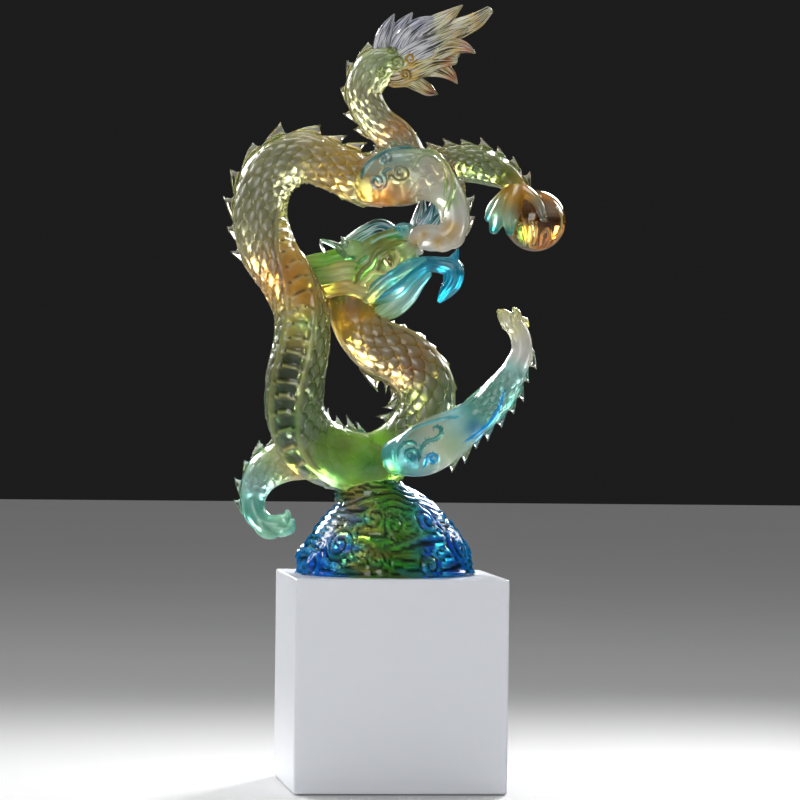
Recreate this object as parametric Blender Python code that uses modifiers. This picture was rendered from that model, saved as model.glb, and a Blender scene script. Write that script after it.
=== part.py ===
"""A cast-glass dragon on a cloud mound, standing on a white block plinth.

Metres, +Z up, origin at the centre of the plinth's underside, the block's front face towards -Y.
"""
import math

import bmesh
import bpy
import numpy as np
from mathutils import Matrix, Vector

# Driving dimensions, in metres and radians
PLINTH_SIDE = 0.140
PLINTH_HEIGHT = 0.140
PLINTH_EDGE = 0.0015
GLASS_HEIGHT = 0.3785
SEAT_GAP = 0.0003
GLASS_TURN = math.radians(-6.8)
GLASS_LEAN = math.radians(-0.7)

# The figure keeps its pose and carving as shares of its own height, which is 570 of these units.
# Stations are (across, back, up, radius), in units from the centre of the glass's underside,
# as the sculptor's front view shows them. A body station ends with the roll of its spine in degrees:
# 0 is on the right of the way from tail to head, 90 is at the back, 180 is on the left.
HEIGHT_UNITS = 570.0
UNIT = GLASS_HEIGHT / HEIGHT_UNITS

MOUND_CENTRE = (-5.5, 0.0)
MOUND_RADIUS = 91.5
MOUND_RISE = 94.0
RISE_POWER = 1.7
SIDE_POWER = 0.6
SADDLE_CENTRE = (-22.0, 0.0, 78.0)
SADDLE_REACH = (44.0, 34.0, 26.0)

# Cloud scrolls cut in relief on the mound: (degrees round from the front, height share, size, hand)
CLOUD_SCROLLS = (
    (-58, 0.26, 19, 1), (-14, 0.24, 18, -1), (30, 0.26, 19, 1), (76, 0.28, 18, -1),
    (-30, 0.60, 14, 1), (28, 0.60, 14, -1), (150, 0.28, 19, 1),
)
SCROLL_TURNS = 1.2
SCROLL_WIDTH = 3.0
SCROLL_POINTS = 7
SCROLL_TIGHTENING = 0.75
SCROLL_TOP = 0.9

PEARL_CENTRE = (145.0, 8.0, 353.5)
PEARL_RADIUS = 31.0

REAR_BODY = (
    (5, 8, 512, 15, 0),
    (-13, 8, 506, 20, 0),
    (-26, 9, 483, 18.5, 0),
    (-14, 11, 455, 17.5, 0),
    (7, 10, 434, 20, 0),
    (14, 8, 414, 23, 0),
    (2, 4, 396, 26, 0),
    (-24, 1, 392, 26, 0),
    (-53, 0, 404, 24.5, 0),
    (-90, 0, 415, 26, 0),
    (-118, -2, 399, 27.7, 0),
    (-130, -4, 364, 26.7, 10),
    (-123, -8, 325, 27, 30),
    (-103, -12, 294, 26, 58),
    (-89, -15, 262, 26.5, 88),
    (-88, -16, 236, 27, 100),
    (-95, -15, 193, 28.5, 107),
    (-95, -12, 160, 28.5, 118),
    (-82, -8, 134, 30, 145),
    (-56, -4, 116, 32, 170),
    (-20, 0, 110, 31, 180),
    (10, 2, 123, 24, 180),
)
FORE_BODY = (
    (-45, -2, 112, 29, 180),
    (-9, 2, 116, 28, 180),
    (19, 3, 136, 28, 180),
    (37, 4, 165, 29, 180),
    (37, 6, 188, 29.5, 180),
    (16, 9, 215, 30, 180),
    (-16, 13, 232, 29, 180),
    (-34, 16, 255, 26, 180),
    (-37, 15, 280, 26, 180),
)

# Each leg is (stations, spine roll, spine start, spine end): the two ends are shares of its length.
LEGS = {
    "holding_hind": ((
        (30, 8, 404, 19), (60, 10, 410, 17.5), (84, 11, 410, 18.5), (103, 11, 404, 16.5),
        (118, 11, 396, 13), (127, 10, 384, 10.5), (128, 8, 372, 11)), 180, 0.1, 0.95),
    "fore_hind": ((
        (-19, -10, 393, 25), (9, -17, 396, 29), (36, -22, 395, 25), (55, -26, 380, 17),
        (63, -30, 359, 14.5), (62, -33, 343, 14), (50, -34, 335, 13), (34, -34, 334, 11)), 180, 0.05, 0.8),
    "raised_front": ((
        (6, -20, 117, 19), (30, -26, 124, 26), (54, -28, 137, 25), (78, -26, 153, 19),
        (95, -23, 166, 17), (109, -20, 182, 17), (124, -17, 206, 12), (131, -15, 224, 10.5),
        (127, -14, 243, 10), (118, -13, 254, 9)), 0, 0.2, 0.85),
    "lowered_front": ((
        (-86, 14, 116, 22), (-108, 18, 112, 21), (-125, 20, 102, 19), (-135, 20, 87, 15),
        (-138, 18, 71, 12), (-135, 16, 58, 11.5), (-124, 14, 49, 10.5), (-112, 13, 48, 10)), 0, 0.15, 0.75),
}

# Toes, locks and other tapering strands: (stations, share of its width that its depth takes)
TOES = {
    "holding_hind": (
        ((124, 6, 384, 9), (112, 2, 373, 8.5), (102, -2, 362, 7), (98, -3, 355, 4)),
        ((124, 2, 382, 9), (113, -8, 367, 9), (106, -14, 352, 8), (103, -16, 343, 4.5)),
        ((127, 0, 382, 9), (122, -14, 367, 9), (119, -22, 351, 7.5), (119, -25, 340, 3.5)),
        ((131, 2, 383, 8), (141, -9, 375, 7), (149, -18, 364, 5.5), (152, -22, 354, 3)),
        ((128, 12, 380, 9), (133, 26, 373, 7.5), (140, 36, 362, 6), (144, 38, 350, 3)),
    ),
    "fore_hind": (
        ((50, -35, 336, 11), (36, -39, 338, 10.5), (26, -41, 336, 9), (22, -41, 333, 5)),
        ((54, -36, 334, 10), (42, -42, 330, 8.5), (34, -43, 328, 6), (30, -43, 326, 3)),
        ((60, -33, 338, 10), (56, -40, 330, 8), (49, -42, 326, 5.5), (45, -42, 325, 3)),
        ((64, -30, 344, 10), (66, -37, 334, 7.5), (61, -41, 329, 5.5), (57, -42, 328, 3)),
    ),
    "raised_front": (
        ((119, -13, 250, 8.5), (114, -15, 257, 7), (110, -16, 261, 5), (108, -16, 262.5, 2.5)),
        ((122, -14, 248, 8), (124, -18, 257, 6.5), (125, -19, 262, 4.5), (123, -18, 265, 2)),
        ((122, -11, 246, 8), (129, -10, 252, 6), (134, -9, 252, 4.5), (137, -9, 248, 2)),
    ),
    "lowered_front": (
        ((-120, 13, 48, 9), (-109, 9, 44, 7.5), (-101, 7, 46, 6), (-99, 7, 53, 3)),
        ((-124, 13, 49, 9), (-112, 16, 52, 7), (-104, 17, 57, 4.5), (-104, 17, 62, 2)),
        ((-132, 13, 54, 9), (-126, 8, 42, 6.5), (-118, 6, 39, 4.5), (-112, 5, 40, 2)),
    ),
}
TUFT_LOCKS = (
    ((-8, 8, 504, 10), (-10, 7, 518, 8.5), (-8, 6, 534, 7.5), (-2, 5, 549, 5), (4, 4, 560, 0.7)),
    ((0, 10, 508, 10), (2, 11, 526, 9), (8, 12, 543, 8), (16, 12, 554, 5), (22, 12, 562, 0.7)),
    ((2, 3, 508, 10), (8, 1, 524, 9), (18, 0, 540, 8.5), (30, 0, 550, 6.5), (46, 1, 556, 2.0)),
    ((9, 8, 510, 11), (22, 6, 532, 10.5), (40, 4, 547, 9.5), (57, 1, 557, 7), (72, -3, 568.5, 0.7)),
    ((14, 8, 508, 12), (38, 9, 530, 12), (66, 10, 545, 10.5), (86, 10, 554, 8), (99, 10, 564, 4)),
    ((14, 6, 505, 11), (40, 3, 520, 10.5), (62, 2, 528, 8.5), (76, 2, 526, 5), (85, 2, 521, 0.7)),
    ((12, 8, 500, 11), (32, 10, 508, 10.5), (50, 11, 506, 8.5), (61, 11, 499, 5), (67, 11, 491, 0.7)),
    ((4, 0, 507, 13), (22, 0, 520, 12), (44, 1, 531, 10), (62, 3, 540, 7), (76, 6, 546, 3)),
    ((-2, 15, 508, 14), (6, 16, 522, 12), (22, 15, 538, 10), (42, 13, 546, 6)),
    ((4, 8, 496, 10), (18, 6, 494, 8), (30, 5, 486, 6.5), (38, 5, 481, 4), (44, 5, 478, 0.7)),
)
LOCK_DEPTH = 0.5

HEAD = (
    (-37, 15, 278, 26), (-30, 12, 297, 28), (-12, 9, 313, 28), (6, 7, 325, 24),
    (20, 5, 334, 17), (29, 4, 342, 12), (33, 3, 350, 8),
)
LOWER_JAW = (
    (-20, 8, 284, 20), (2, 4, 291, 19), (18, 2, 301, 13), (34, 1, 309, 8.5), (50, 1, 309, 8),
    (62, 1, 305, 10.5), (62, 1, 292, 9.5), (55, 1, 281, 6.5), (49, 1, 273, 2.5),
)
JAW_TIP = ((60, 1, 308, 8), (64, 1, 316, 5), (68, 1, 325, 0.8))
# Flattened leaves of the head: (name, share of its width that its depth takes, stations)
HEAD_LEAVES = (
    ("crest", 0.8,
     ((-50, 3, 325, 5), (-38, 3, 332, 8), (-24, 4, 340, 9.5), (-9, 4, 346, 9), (1, 4, 342, 7))),
    ("snout", 1.1,
     ((-16, -2, 322, 10), (-2, -3, 329, 10.5), (12, -2, 335, 9), (22, 0, 338, 6))),
    ("lip_middle", 0.6,
     ((20, 0, 332, 7), (32, -2, 345, 8), (40, -2, 358, 6.5), (43, -1, 371, 2.5))),
    ("lip_high", 0.6,
     ((20, -2, 330, 6), (34, -5, 339, 7.5), (45, -5, 350, 6.5), (52, -4, 361, 2))),
    ("lip_back", 0.7,
     ((20, 10, 332, 7), (34, 13, 344, 8), (42, 13, 357, 6), (46, 12, 369, 2))),
    ("cheek", 0.7,
     ((-22, -10, 276, 7), (-10, -13, 288, 8), (6, -12, 300, 7.5), (22, -8, 310, 5.5), (34, -5, 314, 3))),
    ("throat", 0.4,
     ((-14, 0, 258, 6), (-2, 0, 266, 12), (12, 0, 278, 13), (24, 0, 292, 11), (36, 0, 301, 6))),
    ("mane_top", 0.8,
     ((-30, -4, 320, 8), (-48, -6, 318, 8), (-66, -3, 314, 8), (-90, 4, 311, 6))),
    ("mane_middle", 0.8,
     ((-24, -12, 300, 9), (-42, -13, 303, 10.5), (-60, -9, 299, 10.5), (-82, 0, 296, 9))),
    ("mane_low", 0.8,
     ((-28, -10, 284, 9), (-44, -10, 289, 10), (-62, -5, 285, 9), (-82, 2, 276, 7))),
    ("mane_back_top", 0.8,
     ((-30, 32, 318, 9), (-50, 34, 316, 9), (-70, 30, 312, 9), (-92, 22, 310, 6))),
    ("mane_back_low", 0.8,
     ((-28, 36, 296, 10), (-50, 36, 296, 11), (-70, 31, 290, 10), (-90, 22, 284, 6))),
    ("mane_core", 1.0,
     ((-30, 12, 290, 20), (-52, 14, 292, 17), (-72, 9, 288, 17), (-92, 10, 285, 13))),
    ("mane_keel", 1.0,
     ((-32, 12, 276, 18), (-52, 14, 280, 13), (-68, 15, 273, 11), (-82, 16, 262, 2))),
    ("ear", 0.6,
     ((-38, -10, 316, 6), (-50, -12, 325, 4.5), (-57, -12, 331, 0.8))),
)
HORNS = (
    ((-40, -4, 320, 4), (-52, -8, 328, 2.8), (-64, -10, 333.5, 2.2), (-73, -11, 335.5, 1.8),
     (-72, -11, 330, 1.4), (-65, -9, 320, 1.2)),
    ((-34, 30, 322, 5), (-46, 34, 330, 4), (-58, 38, 340, 3), (-66, 40, 348, 1.2)),
)
BROWS = (((-37, -9, 325), (11, 9, 9)), ((-34, 32, 322), (11, 9, 9)))
EYES = (((-1.5, -19, 313.5), (5, 4, 7.5)), ((-1.5, 29, 313.5), (5, 4, 7.5)))

# Sides round each kind of form, and the length of its facets in units
BODY_SIDES = 12
LIMB_SIDES = 8
STRAND_SIDES = 6
RIB_SIDES = 4
BODY_STEP = 15.5
LIMB_STEP = 12.5
STRAND_STEP = 14.0
MOUND_SIDES = 24
MOUND_RINGS = 8
PEARL_RINGS = 8
SADDLE_RINGS = 5
EGG_RINGS = 4
FEWEST_ROWS = 4
WELD = 0.05
LEAST_RADIUS = 0.5
SHARP_ANGLE = math.radians(50)

# Spines: thin curved blades in a row, (pitch, height above the skin, length, thickness), in units
BODY_SPINES = (19.0, 13.5, 17.0, 4.5)
TAIL_SPINES = (14.0, 10.0, 12.0, 4.0)
LEG_SPINES = (15.0, 11.0, 13.0, 4.0)
SPINE_ROOT = 6.0
SPINE_SWEEP = 0.45
SPINE_TIP = 0.04
# The shares of each body's length that its rows of spines cover
TAIL_ROW = (0.02, 0.13)
ARCH_ROW = (0.21, 0.95)
FORE_ROW = (0.25, 0.78)

# Each finish: (name, colour, roughness, share of light let through)
GLASS_FINISH = ("coloured_glass", (0.55, 0.66, 0.30), 0.35, 0.8)
PLINTH_FINISH = ("white_lacquer", (0.86, 0.88, 0.92), 0.3, 0.0)
EDGE_SEGMENTS = 3

LEAN = Matrix.Rotation(GLASS_LEAN, 4, "Y")


def clear_scene():
    for thing in list(bpy.data.objects):
        bpy.data.objects.remove(thing)


def material(name, colour, roughness, transmission):
    finish = bpy.data.materials.new(name)
    finish.use_nodes = True
    shader = finish.node_tree.nodes["Principled BSDF"]
    shader.inputs["Base Color"].default_value = (*colour, 1.0)
    shader.inputs["Roughness"].default_value = roughness
    shader.inputs["Transmission Weight"].default_value = transmission
    finish.diffuse_color = (*colour, 1.0)
    return finish


def figure_frame():
    """From figure units to metres in the room: turned to face the viewer, on the plinth."""
    seat = Matrix.Translation((0.0, 0.0, PLINTH_HEIGHT + SEAT_GAP))
    turn = Matrix.Rotation(GLASS_TURN, 4, "Z")
    return seat @ turn @ Matrix.Scale(UNIT, 4)


def smooth(stations, step):
    """Rows evenly spaced, about `step` apart, on a smooth curve through the stations."""
    rows = np.array(stations, dtype=float)
    gaps = np.linalg.norm(np.diff(rows[:, :3], axis=0), axis=1)
    reach = np.concatenate(([0.0], np.cumsum(gaps)))
    slopes = np.gradient(rows, reach, axis=0)
    count = max(FEWEST_ROWS, round(reach[-1] / step) + 1)
    places = np.linspace(0.0, reach[-1], count)
    spans = np.clip(np.searchsorted(reach, places, side="right") - 1, 0, len(rows) - 2)
    width = (reach[spans + 1] - reach[spans])[:, None]
    t = ((places - reach[spans])[:, None]) / width
    start, end = rows[spans], rows[spans + 1]
    leave, arrive = slopes[spans] * width, slopes[spans + 1] * width
    return (start * (2 * t**3 - 3 * t**2 + 1) + leave * (t**3 - 2 * t**2 + t)
            + end * (3 * t**2 - 2 * t**3) + arrive * (t**3 - t**2))


def keep_mesh(name, mesh):
    piece = bpy.data.objects.new(name, mesh)
    bpy.context.scene.collection.objects.link(piece)
    return piece


def bake_transform(piece, matrix):
    piece.data.transform(matrix)
    return piece


def strand(name, stations, step, sides, depth_share=1.0):
    """A closed round-ended tube whose radius follows its stations, flattened front to back."""
    rows = smooth(stations, step)
    middle = float(rows[:, 1].mean())
    curve = bpy.data.curves.new(name, "CURVE")
    curve.dimensions = "3D"
    curve.bevel_depth = 1.0
    curve.bevel_resolution = (sides - 4) // 2
    curve.use_fill_caps = True
    spline = curve.splines.new("POLY")
    spline.points.add(len(rows) - 1)
    for point, row in zip(spline.points, rows):
        back = middle + (row[1] - middle) / depth_share
        point.co = (row[0], back, row[2], 1.0)
        point.radius = max(row[3], LEAST_RADIUS)
    guide = bpy.data.objects.new(name, curve)
    bpy.context.scene.collection.objects.link(guide)
    mesh = bpy.data.meshes.new_from_object(guide.evaluated_get(bpy.context.evaluated_depsgraph_get()))
    bpy.data.objects.remove(guide)
    body = bmesh.new()
    body.from_mesh(mesh)
    bmesh.ops.remove_doubles(body, verts=body.verts, dist=WELD)
    bmesh.ops.recalc_face_normals(body, faces=body.faces)
    body.to_mesh(mesh)
    body.free()
    piece = keep_mesh(name, mesh)
    flatten = Matrix.Diagonal((1.0, depth_share, 1.0, 1.0))
    centre = Matrix.Translation((0.0, middle, 0.0))
    return bake_transform(piece, LEAN @ centre @ flatten @ centre.inverted())


def ball(name, centre, reach, rings):
    """A ball, or an egg where its three half-lengths in `reach` differ."""
    body = bmesh.new()
    place = LEAN @ Matrix.Translation(centre) @ Matrix.Diagonal((*reach, 1.0))
    bmesh.ops.create_uvsphere(body, u_segments=2 * rings, v_segments=rings, radius=1.0, matrix=place)
    mesh = bpy.data.meshes.new(name)
    body.to_mesh(mesh)
    body.free()
    return keep_mesh(name, mesh)


def spine(name, foot, outward, tailward, height, length, thickness):
    """One blade of the crest: a flat cone that stands on the skin and sweeps towards the tail."""
    side = outward.cross(tailward).normalized()
    top = outward * (height + SPINE_ROOT) + tailward * (height * SPINE_SWEEP)
    frame = Matrix((side * thickness / 2, tailward * length / 2, top)).transposed().to_4x4()
    frame.translation = foot - outward * SPINE_ROOT
    body = bmesh.new()
    bmesh.ops.create_cone(body, cap_ends=True, segments=RIB_SIDES, radius1=1.0, radius2=SPINE_TIP, depth=1.0,
                          matrix=Matrix.Translation((0.0, 0.0, 0.5)))
    mesh = bpy.data.meshes.new(name)
    body.to_mesh(mesh)
    body.free()
    return bake_transform(keep_mesh(name, mesh), LEAN @ frame)


def spine_row(name, rows, rolls, start, end, sizes):
    """Blades along a limb, from share `start` to share `end` of its length."""
    pitch, height, length, thickness = sizes
    gaps = np.linalg.norm(np.diff(rows[:, :3], axis=0), axis=1)
    reach = np.concatenate(([0.0], np.cumsum(gaps)))
    ways = np.gradient(rows[:, :3], reach, axis=0)
    count = max(1, round((end - start) * reach[-1] / pitch))
    blades = []
    for number in range(count):
        place = reach[-1] * (start + (end - start) * (number + 0.5) / count)
        foot = Vector([np.interp(place, reach, rows[:, axis]) for axis in range(3)])
        way = Vector([np.interp(place, reach, ways[:, axis]) for axis in range(3)]).normalized()
        radius = np.interp(place, reach, rows[:, 3])
        roll = math.radians(np.interp(place, reach, rolls))
        right = Vector((way.z, 0.0, -way.x)).normalized()
        outward = right * math.cos(roll) + way.cross(right) * math.sin(roll)
        blades.append(spine(f"{name}_{number}", foot + outward * radius, outward, -way,
                            height, length, thickness))
    return blades


def mound_width(height):
    """Radius of the mound at a height: full at the foot, rounding over to the crown."""
    return MOUND_RADIUS * (1 - (height / MOUND_RISE) ** RISE_POWER) ** SIDE_POWER


def cloud_scroll(name, bearing, height_share, size, hand):
    """A rounded spiral rib that lies half sunk in the mound's skin."""
    stations = []
    for step in range(SCROLL_POINTS):
        share = step / (SCROLL_POINTS - 1)
        angle = hand * share * SCROLL_TURNS * math.tau
        reach = size * (1 - SCROLL_TIGHTENING * share)
        height = MOUND_RISE * height_share + reach * math.sin(angle)
        height = min(max(height, SCROLL_WIDTH), MOUND_RISE * SCROLL_TOP)
        width = mound_width(height)
        round_by = math.radians(bearing) + reach * math.cos(angle) / width
        stations.append((MOUND_CENTRE[0] + width * math.sin(round_by),
                         MOUND_CENTRE[1] - width * math.cos(round_by), height, SCROLL_WIDTH))
    return strand(name, stations, 3 * SCROLL_WIDTH, RIB_SIDES)


def mound():
    """The cloud mound: a turned dome with a flat underside."""
    curve = bpy.data.meshes.new("mound")
    body = bmesh.new()
    heights = [MOUND_RISE * (1 - (ring / MOUND_RINGS) ** 2) for ring in range(MOUND_RINGS + 1)]
    points = [body.verts.new((mound_width(height), 0.0, height)) for height in heights]
    points.append(body.verts.new((0.0, 0.0, 0.0)))
    for upper, lower in zip(points, points[1:]):
        body.edges.new((upper, lower))
    body.to_mesh(curve)
    body.free()
    piece = keep_mesh("mound", curve)
    turn = piece.modifiers.new("turn", "SCREW")
    turn.steps = turn.render_steps = MOUND_SIDES
    turn.use_merge_vertices = True
    turn.merge_threshold = WELD
    solid = bpy.data.meshes.new_from_object(piece.evaluated_get(bpy.context.evaluated_depsgraph_get()))
    piece.modifiers.clear()
    piece.data = solid
    body = bmesh.new()
    body.from_mesh(solid)
    bmesh.ops.remove_doubles(body, verts=body.verts, dist=WELD)
    bmesh.ops.recalc_face_normals(body, faces=body.faces)
    body.to_mesh(solid)
    body.free()
    return bake_transform(piece, Matrix.Translation((*MOUND_CENTRE, 0.0)))


def glass_pieces():
    """Every swelling of the casting, each a closed form that runs well into its neighbours."""
    rear, fore = smooth(REAR_BODY, BODY_STEP), smooth(FORE_BODY, BODY_STEP)
    pieces = [strand("rear_body", REAR_BODY, BODY_STEP, BODY_SIDES),
              strand("fore_body", FORE_BODY, BODY_STEP, BODY_SIDES)]
    pieces.append(ball("saddle", SADDLE_CENTRE, SADDLE_REACH, SADDLE_RINGS))
    pieces += spine_row("rear_spine", rear, rear[:, 4], *TAIL_ROW, TAIL_SPINES)
    pieces += spine_row("arch_spine", rear, rear[:, 4], *ARCH_ROW, BODY_SPINES)
    pieces += spine_row("fore_spine", fore, fore[:, 4], *FORE_ROW, BODY_SPINES)
    for name, (stations, roll, start, end) in LEGS.items():
        pieces.append(strand(name, stations, LIMB_STEP, LIMB_SIDES))
        rows = smooth(stations, LIMB_STEP)
        pieces += spine_row(f"{name}_spine", rows, [roll] * len(rows), start, end, LEG_SPINES)
    for name, toes in TOES.items():
        for number, toe in enumerate(toes):
            pieces.append(strand(f"{name}_toe_{number}", toe, STRAND_STEP, STRAND_SIDES))
    for number, lock in enumerate(TUFT_LOCKS):
        pieces.append(strand(f"tuft_{number}", lock, STRAND_STEP, STRAND_SIDES, LOCK_DEPTH))
    pieces.append(strand("head", HEAD, BODY_STEP, BODY_SIDES))
    pieces.append(strand("lower_jaw", LOWER_JAW, STRAND_STEP, LIMB_SIDES))
    pieces.append(strand("jaw_tip", JAW_TIP, STRAND_STEP, STRAND_SIDES, LOCK_DEPTH))
    for name, depth_share, stations in HEAD_LEAVES:
        pieces.append(strand(name, stations, STRAND_STEP, STRAND_SIDES, depth_share))
    for number, stations in enumerate(HORNS):
        pieces.append(strand(f"horn_{number}", stations, STRAND_STEP, RIB_SIDES))
    for number, scroll in enumerate(CLOUD_SCROLLS):
        pieces.append(cloud_scroll(f"scroll_{number}", *scroll))
    for number, (centre, reach) in enumerate((*BROWS, *EYES)):
        pieces.append(ball(f"egg_{number}", centre, reach, EGG_RINGS))
    pieces.append(ball("pearl", PEARL_CENTRE, [PEARL_RADIUS] * 3, PEARL_RINGS))
    return pieces


def fuse(name, base, pieces):
    """One closed casting from overlapping closed forms."""
    moulds = bpy.data.collections.new("moulds")
    for piece in pieces:
        moulds.objects.link(piece)
    join = base.modifiers.new("join", "BOOLEAN")
    join.operation = "UNION"
    join.operand_type = "COLLECTION"
    join.collection = moulds
    join.solver = "EXACT"
    mesh = bpy.data.meshes.new_from_object(base.evaluated_get(bpy.context.evaluated_depsgraph_get()))
    for piece in (*pieces, base):
        bpy.data.objects.remove(piece)
    bpy.data.collections.remove(moulds)
    mesh.name = name
    return mesh


def fill_voids(body):
    """Leave only the outer skin, so that no gap between the overlapping forms stays inside the casting."""
    shells = []
    unseen = set(body.verts)
    while unseen:
        edge_of_search = [unseen.pop()]
        shell = []
        while edge_of_search:
            point = edge_of_search.pop()
            shell.append(point)
            for edge in point.link_edges:
                other = edge.other_vert(point)
                if other in unseen:
                    unseen.remove(other)
                    edge_of_search.append(other)
        shells.append(shell)
    for shell in sorted(shells, key=len)[:-1]:
        bmesh.ops.delete(body, geom=shell, context="VERTS")


def make_dragon():
    mesh = fuse("dragon", mound(), glass_pieces())
    mesh.transform(figure_frame())
    body = bmesh.new()
    body.from_mesh(mesh)
    bmesh.ops.triangulate(body, faces=body.faces)
    fill_voids(body)
    body.to_mesh(mesh)
    body.free()
    mesh.materials.clear()
    mesh.materials.append(material(*GLASS_FINISH))
    mesh.shade_smooth()
    mesh.set_sharp_from_angle(angle=SHARP_ANGLE)
    return bpy.data.objects.new("dragon", mesh)


def make_plinth():
    body = bmesh.new()
    size = Matrix.Diagonal((PLINTH_SIDE, PLINTH_SIDE, PLINTH_HEIGHT, 1.0))
    bmesh.ops.create_cube(body, size=1.0, matrix=Matrix.Translation((0, 0, PLINTH_HEIGHT / 2)) @ size)
    mesh = bpy.data.meshes.new("plinth")
    body.to_mesh(mesh)
    body.free()
    mesh.materials.append(material(*PLINTH_FINISH))
    block = bpy.data.objects.new("plinth", mesh)
    edge = block.modifiers.new("edge", "BEVEL")
    edge.width = PLINTH_EDGE
    edge.segments = EDGE_SEGMENTS
    return block


def main():
    clear_scene()
    sculpture = bpy.data.collections.new("dragon_sculpture")
    bpy.context.scene.collection.children.link(sculpture)
    sculpture.objects.link(make_dragon())
    sculpture.objects.link(make_plinth())


main()
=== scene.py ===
"""Looks for the cast-glass dragon on its white block plinth: the fine casting, its glass, the light and the camera."""
import math

import bpy
import numpy as np
from mathutils import Matrix, Vector
from mathutils.bvhtree import BVHTree


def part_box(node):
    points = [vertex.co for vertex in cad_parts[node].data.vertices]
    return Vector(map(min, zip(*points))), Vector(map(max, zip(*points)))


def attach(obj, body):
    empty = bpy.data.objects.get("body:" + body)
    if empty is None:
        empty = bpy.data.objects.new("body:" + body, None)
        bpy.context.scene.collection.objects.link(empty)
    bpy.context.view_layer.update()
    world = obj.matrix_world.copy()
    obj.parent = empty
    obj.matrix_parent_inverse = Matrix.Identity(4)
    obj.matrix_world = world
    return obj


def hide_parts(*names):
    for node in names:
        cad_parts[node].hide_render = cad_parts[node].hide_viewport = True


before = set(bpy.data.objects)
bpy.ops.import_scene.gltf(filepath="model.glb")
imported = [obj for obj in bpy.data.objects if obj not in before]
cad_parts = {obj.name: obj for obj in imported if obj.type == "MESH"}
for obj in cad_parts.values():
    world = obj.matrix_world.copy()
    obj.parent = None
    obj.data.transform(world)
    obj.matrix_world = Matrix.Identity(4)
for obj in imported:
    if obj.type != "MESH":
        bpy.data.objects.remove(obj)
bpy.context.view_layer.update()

# The figure keeps its pose and carving as shares of the glass's height, 570 units. Stations are
# (across, back, up, radius) from the centre of its underside, as the front view shows them. A body
# station ends with the roll of its spine: 0 is on the right of the way from tail to head, 90 at the back.
GLASS_LOW, GLASS_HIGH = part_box("dragon")
HEIGHT_UNITS = 570.0
UNIT = (GLASS_HIGH.z - GLASS_LOW.z) / HEIGHT_UNITS
GLASS_TURN = math.radians(-6.8)
GLASS_LEAN = math.radians(-0.7)
LEAN = Matrix.Rotation(GLASS_LEAN, 4, "Y")
SEAT = Matrix.Translation((0.0, 0.0, GLASS_LOW.z)) @ Matrix.Rotation(GLASS_TURN, 4, "Z") @ Matrix.Scale(UNIT, 4)

# Glass colours, as light passes through them
AMBER = (0.80, 0.38, 0.02)
ORANGE = (0.86, 0.22, 0.01)
HONEY = (0.84, 0.54, 0.05)
STRAW = (0.93, 0.90, 0.42)
OLIVE = (0.29, 0.35, 0.05)
LIME = (0.36, 0.78, 0.04)
LEAF = (0.06, 0.56, 0.06)
PALE_GREEN = (0.58, 0.80, 0.36)
MINT = (0.48, 0.86, 0.66)
AQUA = (0.16, 0.72, 0.80)
TEAL = (0.03, 0.42, 0.42)
SKY = (0.01, 0.48, 1.0)
CYAN = (0.015, 0.46, 0.66)
JADE = (0.20, 0.62, 0.50)
DEEP_BLUE = (0.005, 0.16, 1.0)
MILK = (0.94, 0.93, 0.88)
LILAC = (0.74, 0.76, 0.97)
FROST = (0.93, 0.93, 0.98)
GOLD = (0.95, 0.66, 0.14)
PEARLY = (0.86, 0.92, 0.76)
BROWN = (0.30, 0.10, 0.01)
# Painted highlight for the raised faces of the scales
SCALE_HIGHLIGHT = (0.56, 0.58, 0.54)
KHAKI = (0.52, 0.51, 0.24)
# Painted shade for the grooves between the scales and the recesses of the belly plates
GROOVE_SHADE = (0.10, 0.08, 0.01)
MOSS = (0.14, 0.26, 0.04)
UMBER = (0.44, 0.27, 0.03)
BOTTLE = (0.015, 0.06, 0.01)
# Painted shade for the grooves of the combed hair lines
HAIR_SHADE = (0.02, 0.02, 0.015)
CITRON = (0.78, 0.84, 0.10)
PALE_AQUA = (0.56, 0.88, 0.84)

# The ways that the glass is finished, as slots on the casting
SATIN, POLISHED, DEEP, COMBED, CLOUD = range(5)

REAR_BODY = (
    (5, 8, 512, 15, 0),
    (-13, 8, 506, 20, 0),
    (-26, 9, 483, 18.5, 0),
    (-14, 11, 455, 17.5, 0),
    (7, 10, 434, 20, 0),
    (14, 8, 414, 23, 0),
    (2, 4, 396, 26, 0),
    (-24, 1, 392, 26, 0),
    (-53, 0, 404, 24.5, 0),
    (-90, 0, 415, 26, 0),
    (-118, -2, 399, 27.7, 0),
    (-130, -4, 364, 26.7, 10),
    (-123, -8, 325, 27, 30),
    (-103, -12, 294, 26, 58),
    (-89, -15, 262, 26.5, 88),
    (-88, -16, 236, 27, 100),
    (-95, -15, 193, 28.5, 107),
    (-95, -12, 160, 28.5, 118),
    (-82, -8, 134, 30, 145),
    (-56, -4, 116, 32, 170),
    (-20, 0, 110, 31, 180),
    (10, 2, 123, 24, 180),
)
REAR_TINTS = ((0.0, PALE_GREEN), (0.07, KHAKI), (0.12, KHAKI), (0.15, AMBER), (0.2, KHAKI), (0.24, KHAKI),
              (0.3, HONEY), (0.40, KHAKI), (0.52, KHAKI), (0.60, HONEY), (0.68, OLIVE), (0.76, MOSS), (0.84, MOSS),
              (0.92, LIME), (1.0, OLIVE))
REAR_BELLY_TINTS = ((0.0, STRAW), (0.12, GOLD), (0.24, CITRON), (0.46, CITRON), (0.54, GOLD), (0.67, GOLD),
                    (0.72, BOTTLE), (1.0, BOTTLE))
FORE_BODY = (
    (-45, -2, 112, 29, 180),
    (-9, 2, 116, 28, 180),
    (19, 3, 136, 28, 180),
    (37, 4, 165, 29, 180),
    (37, 6, 188, 29.5, 180),
    (16, 9, 215, 30, 180),
    (-16, 13, 232, 29, 180),
    (-34, 16, 255, 26, 180),
    (-37, 15, 280, 26, 180),
)
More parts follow.
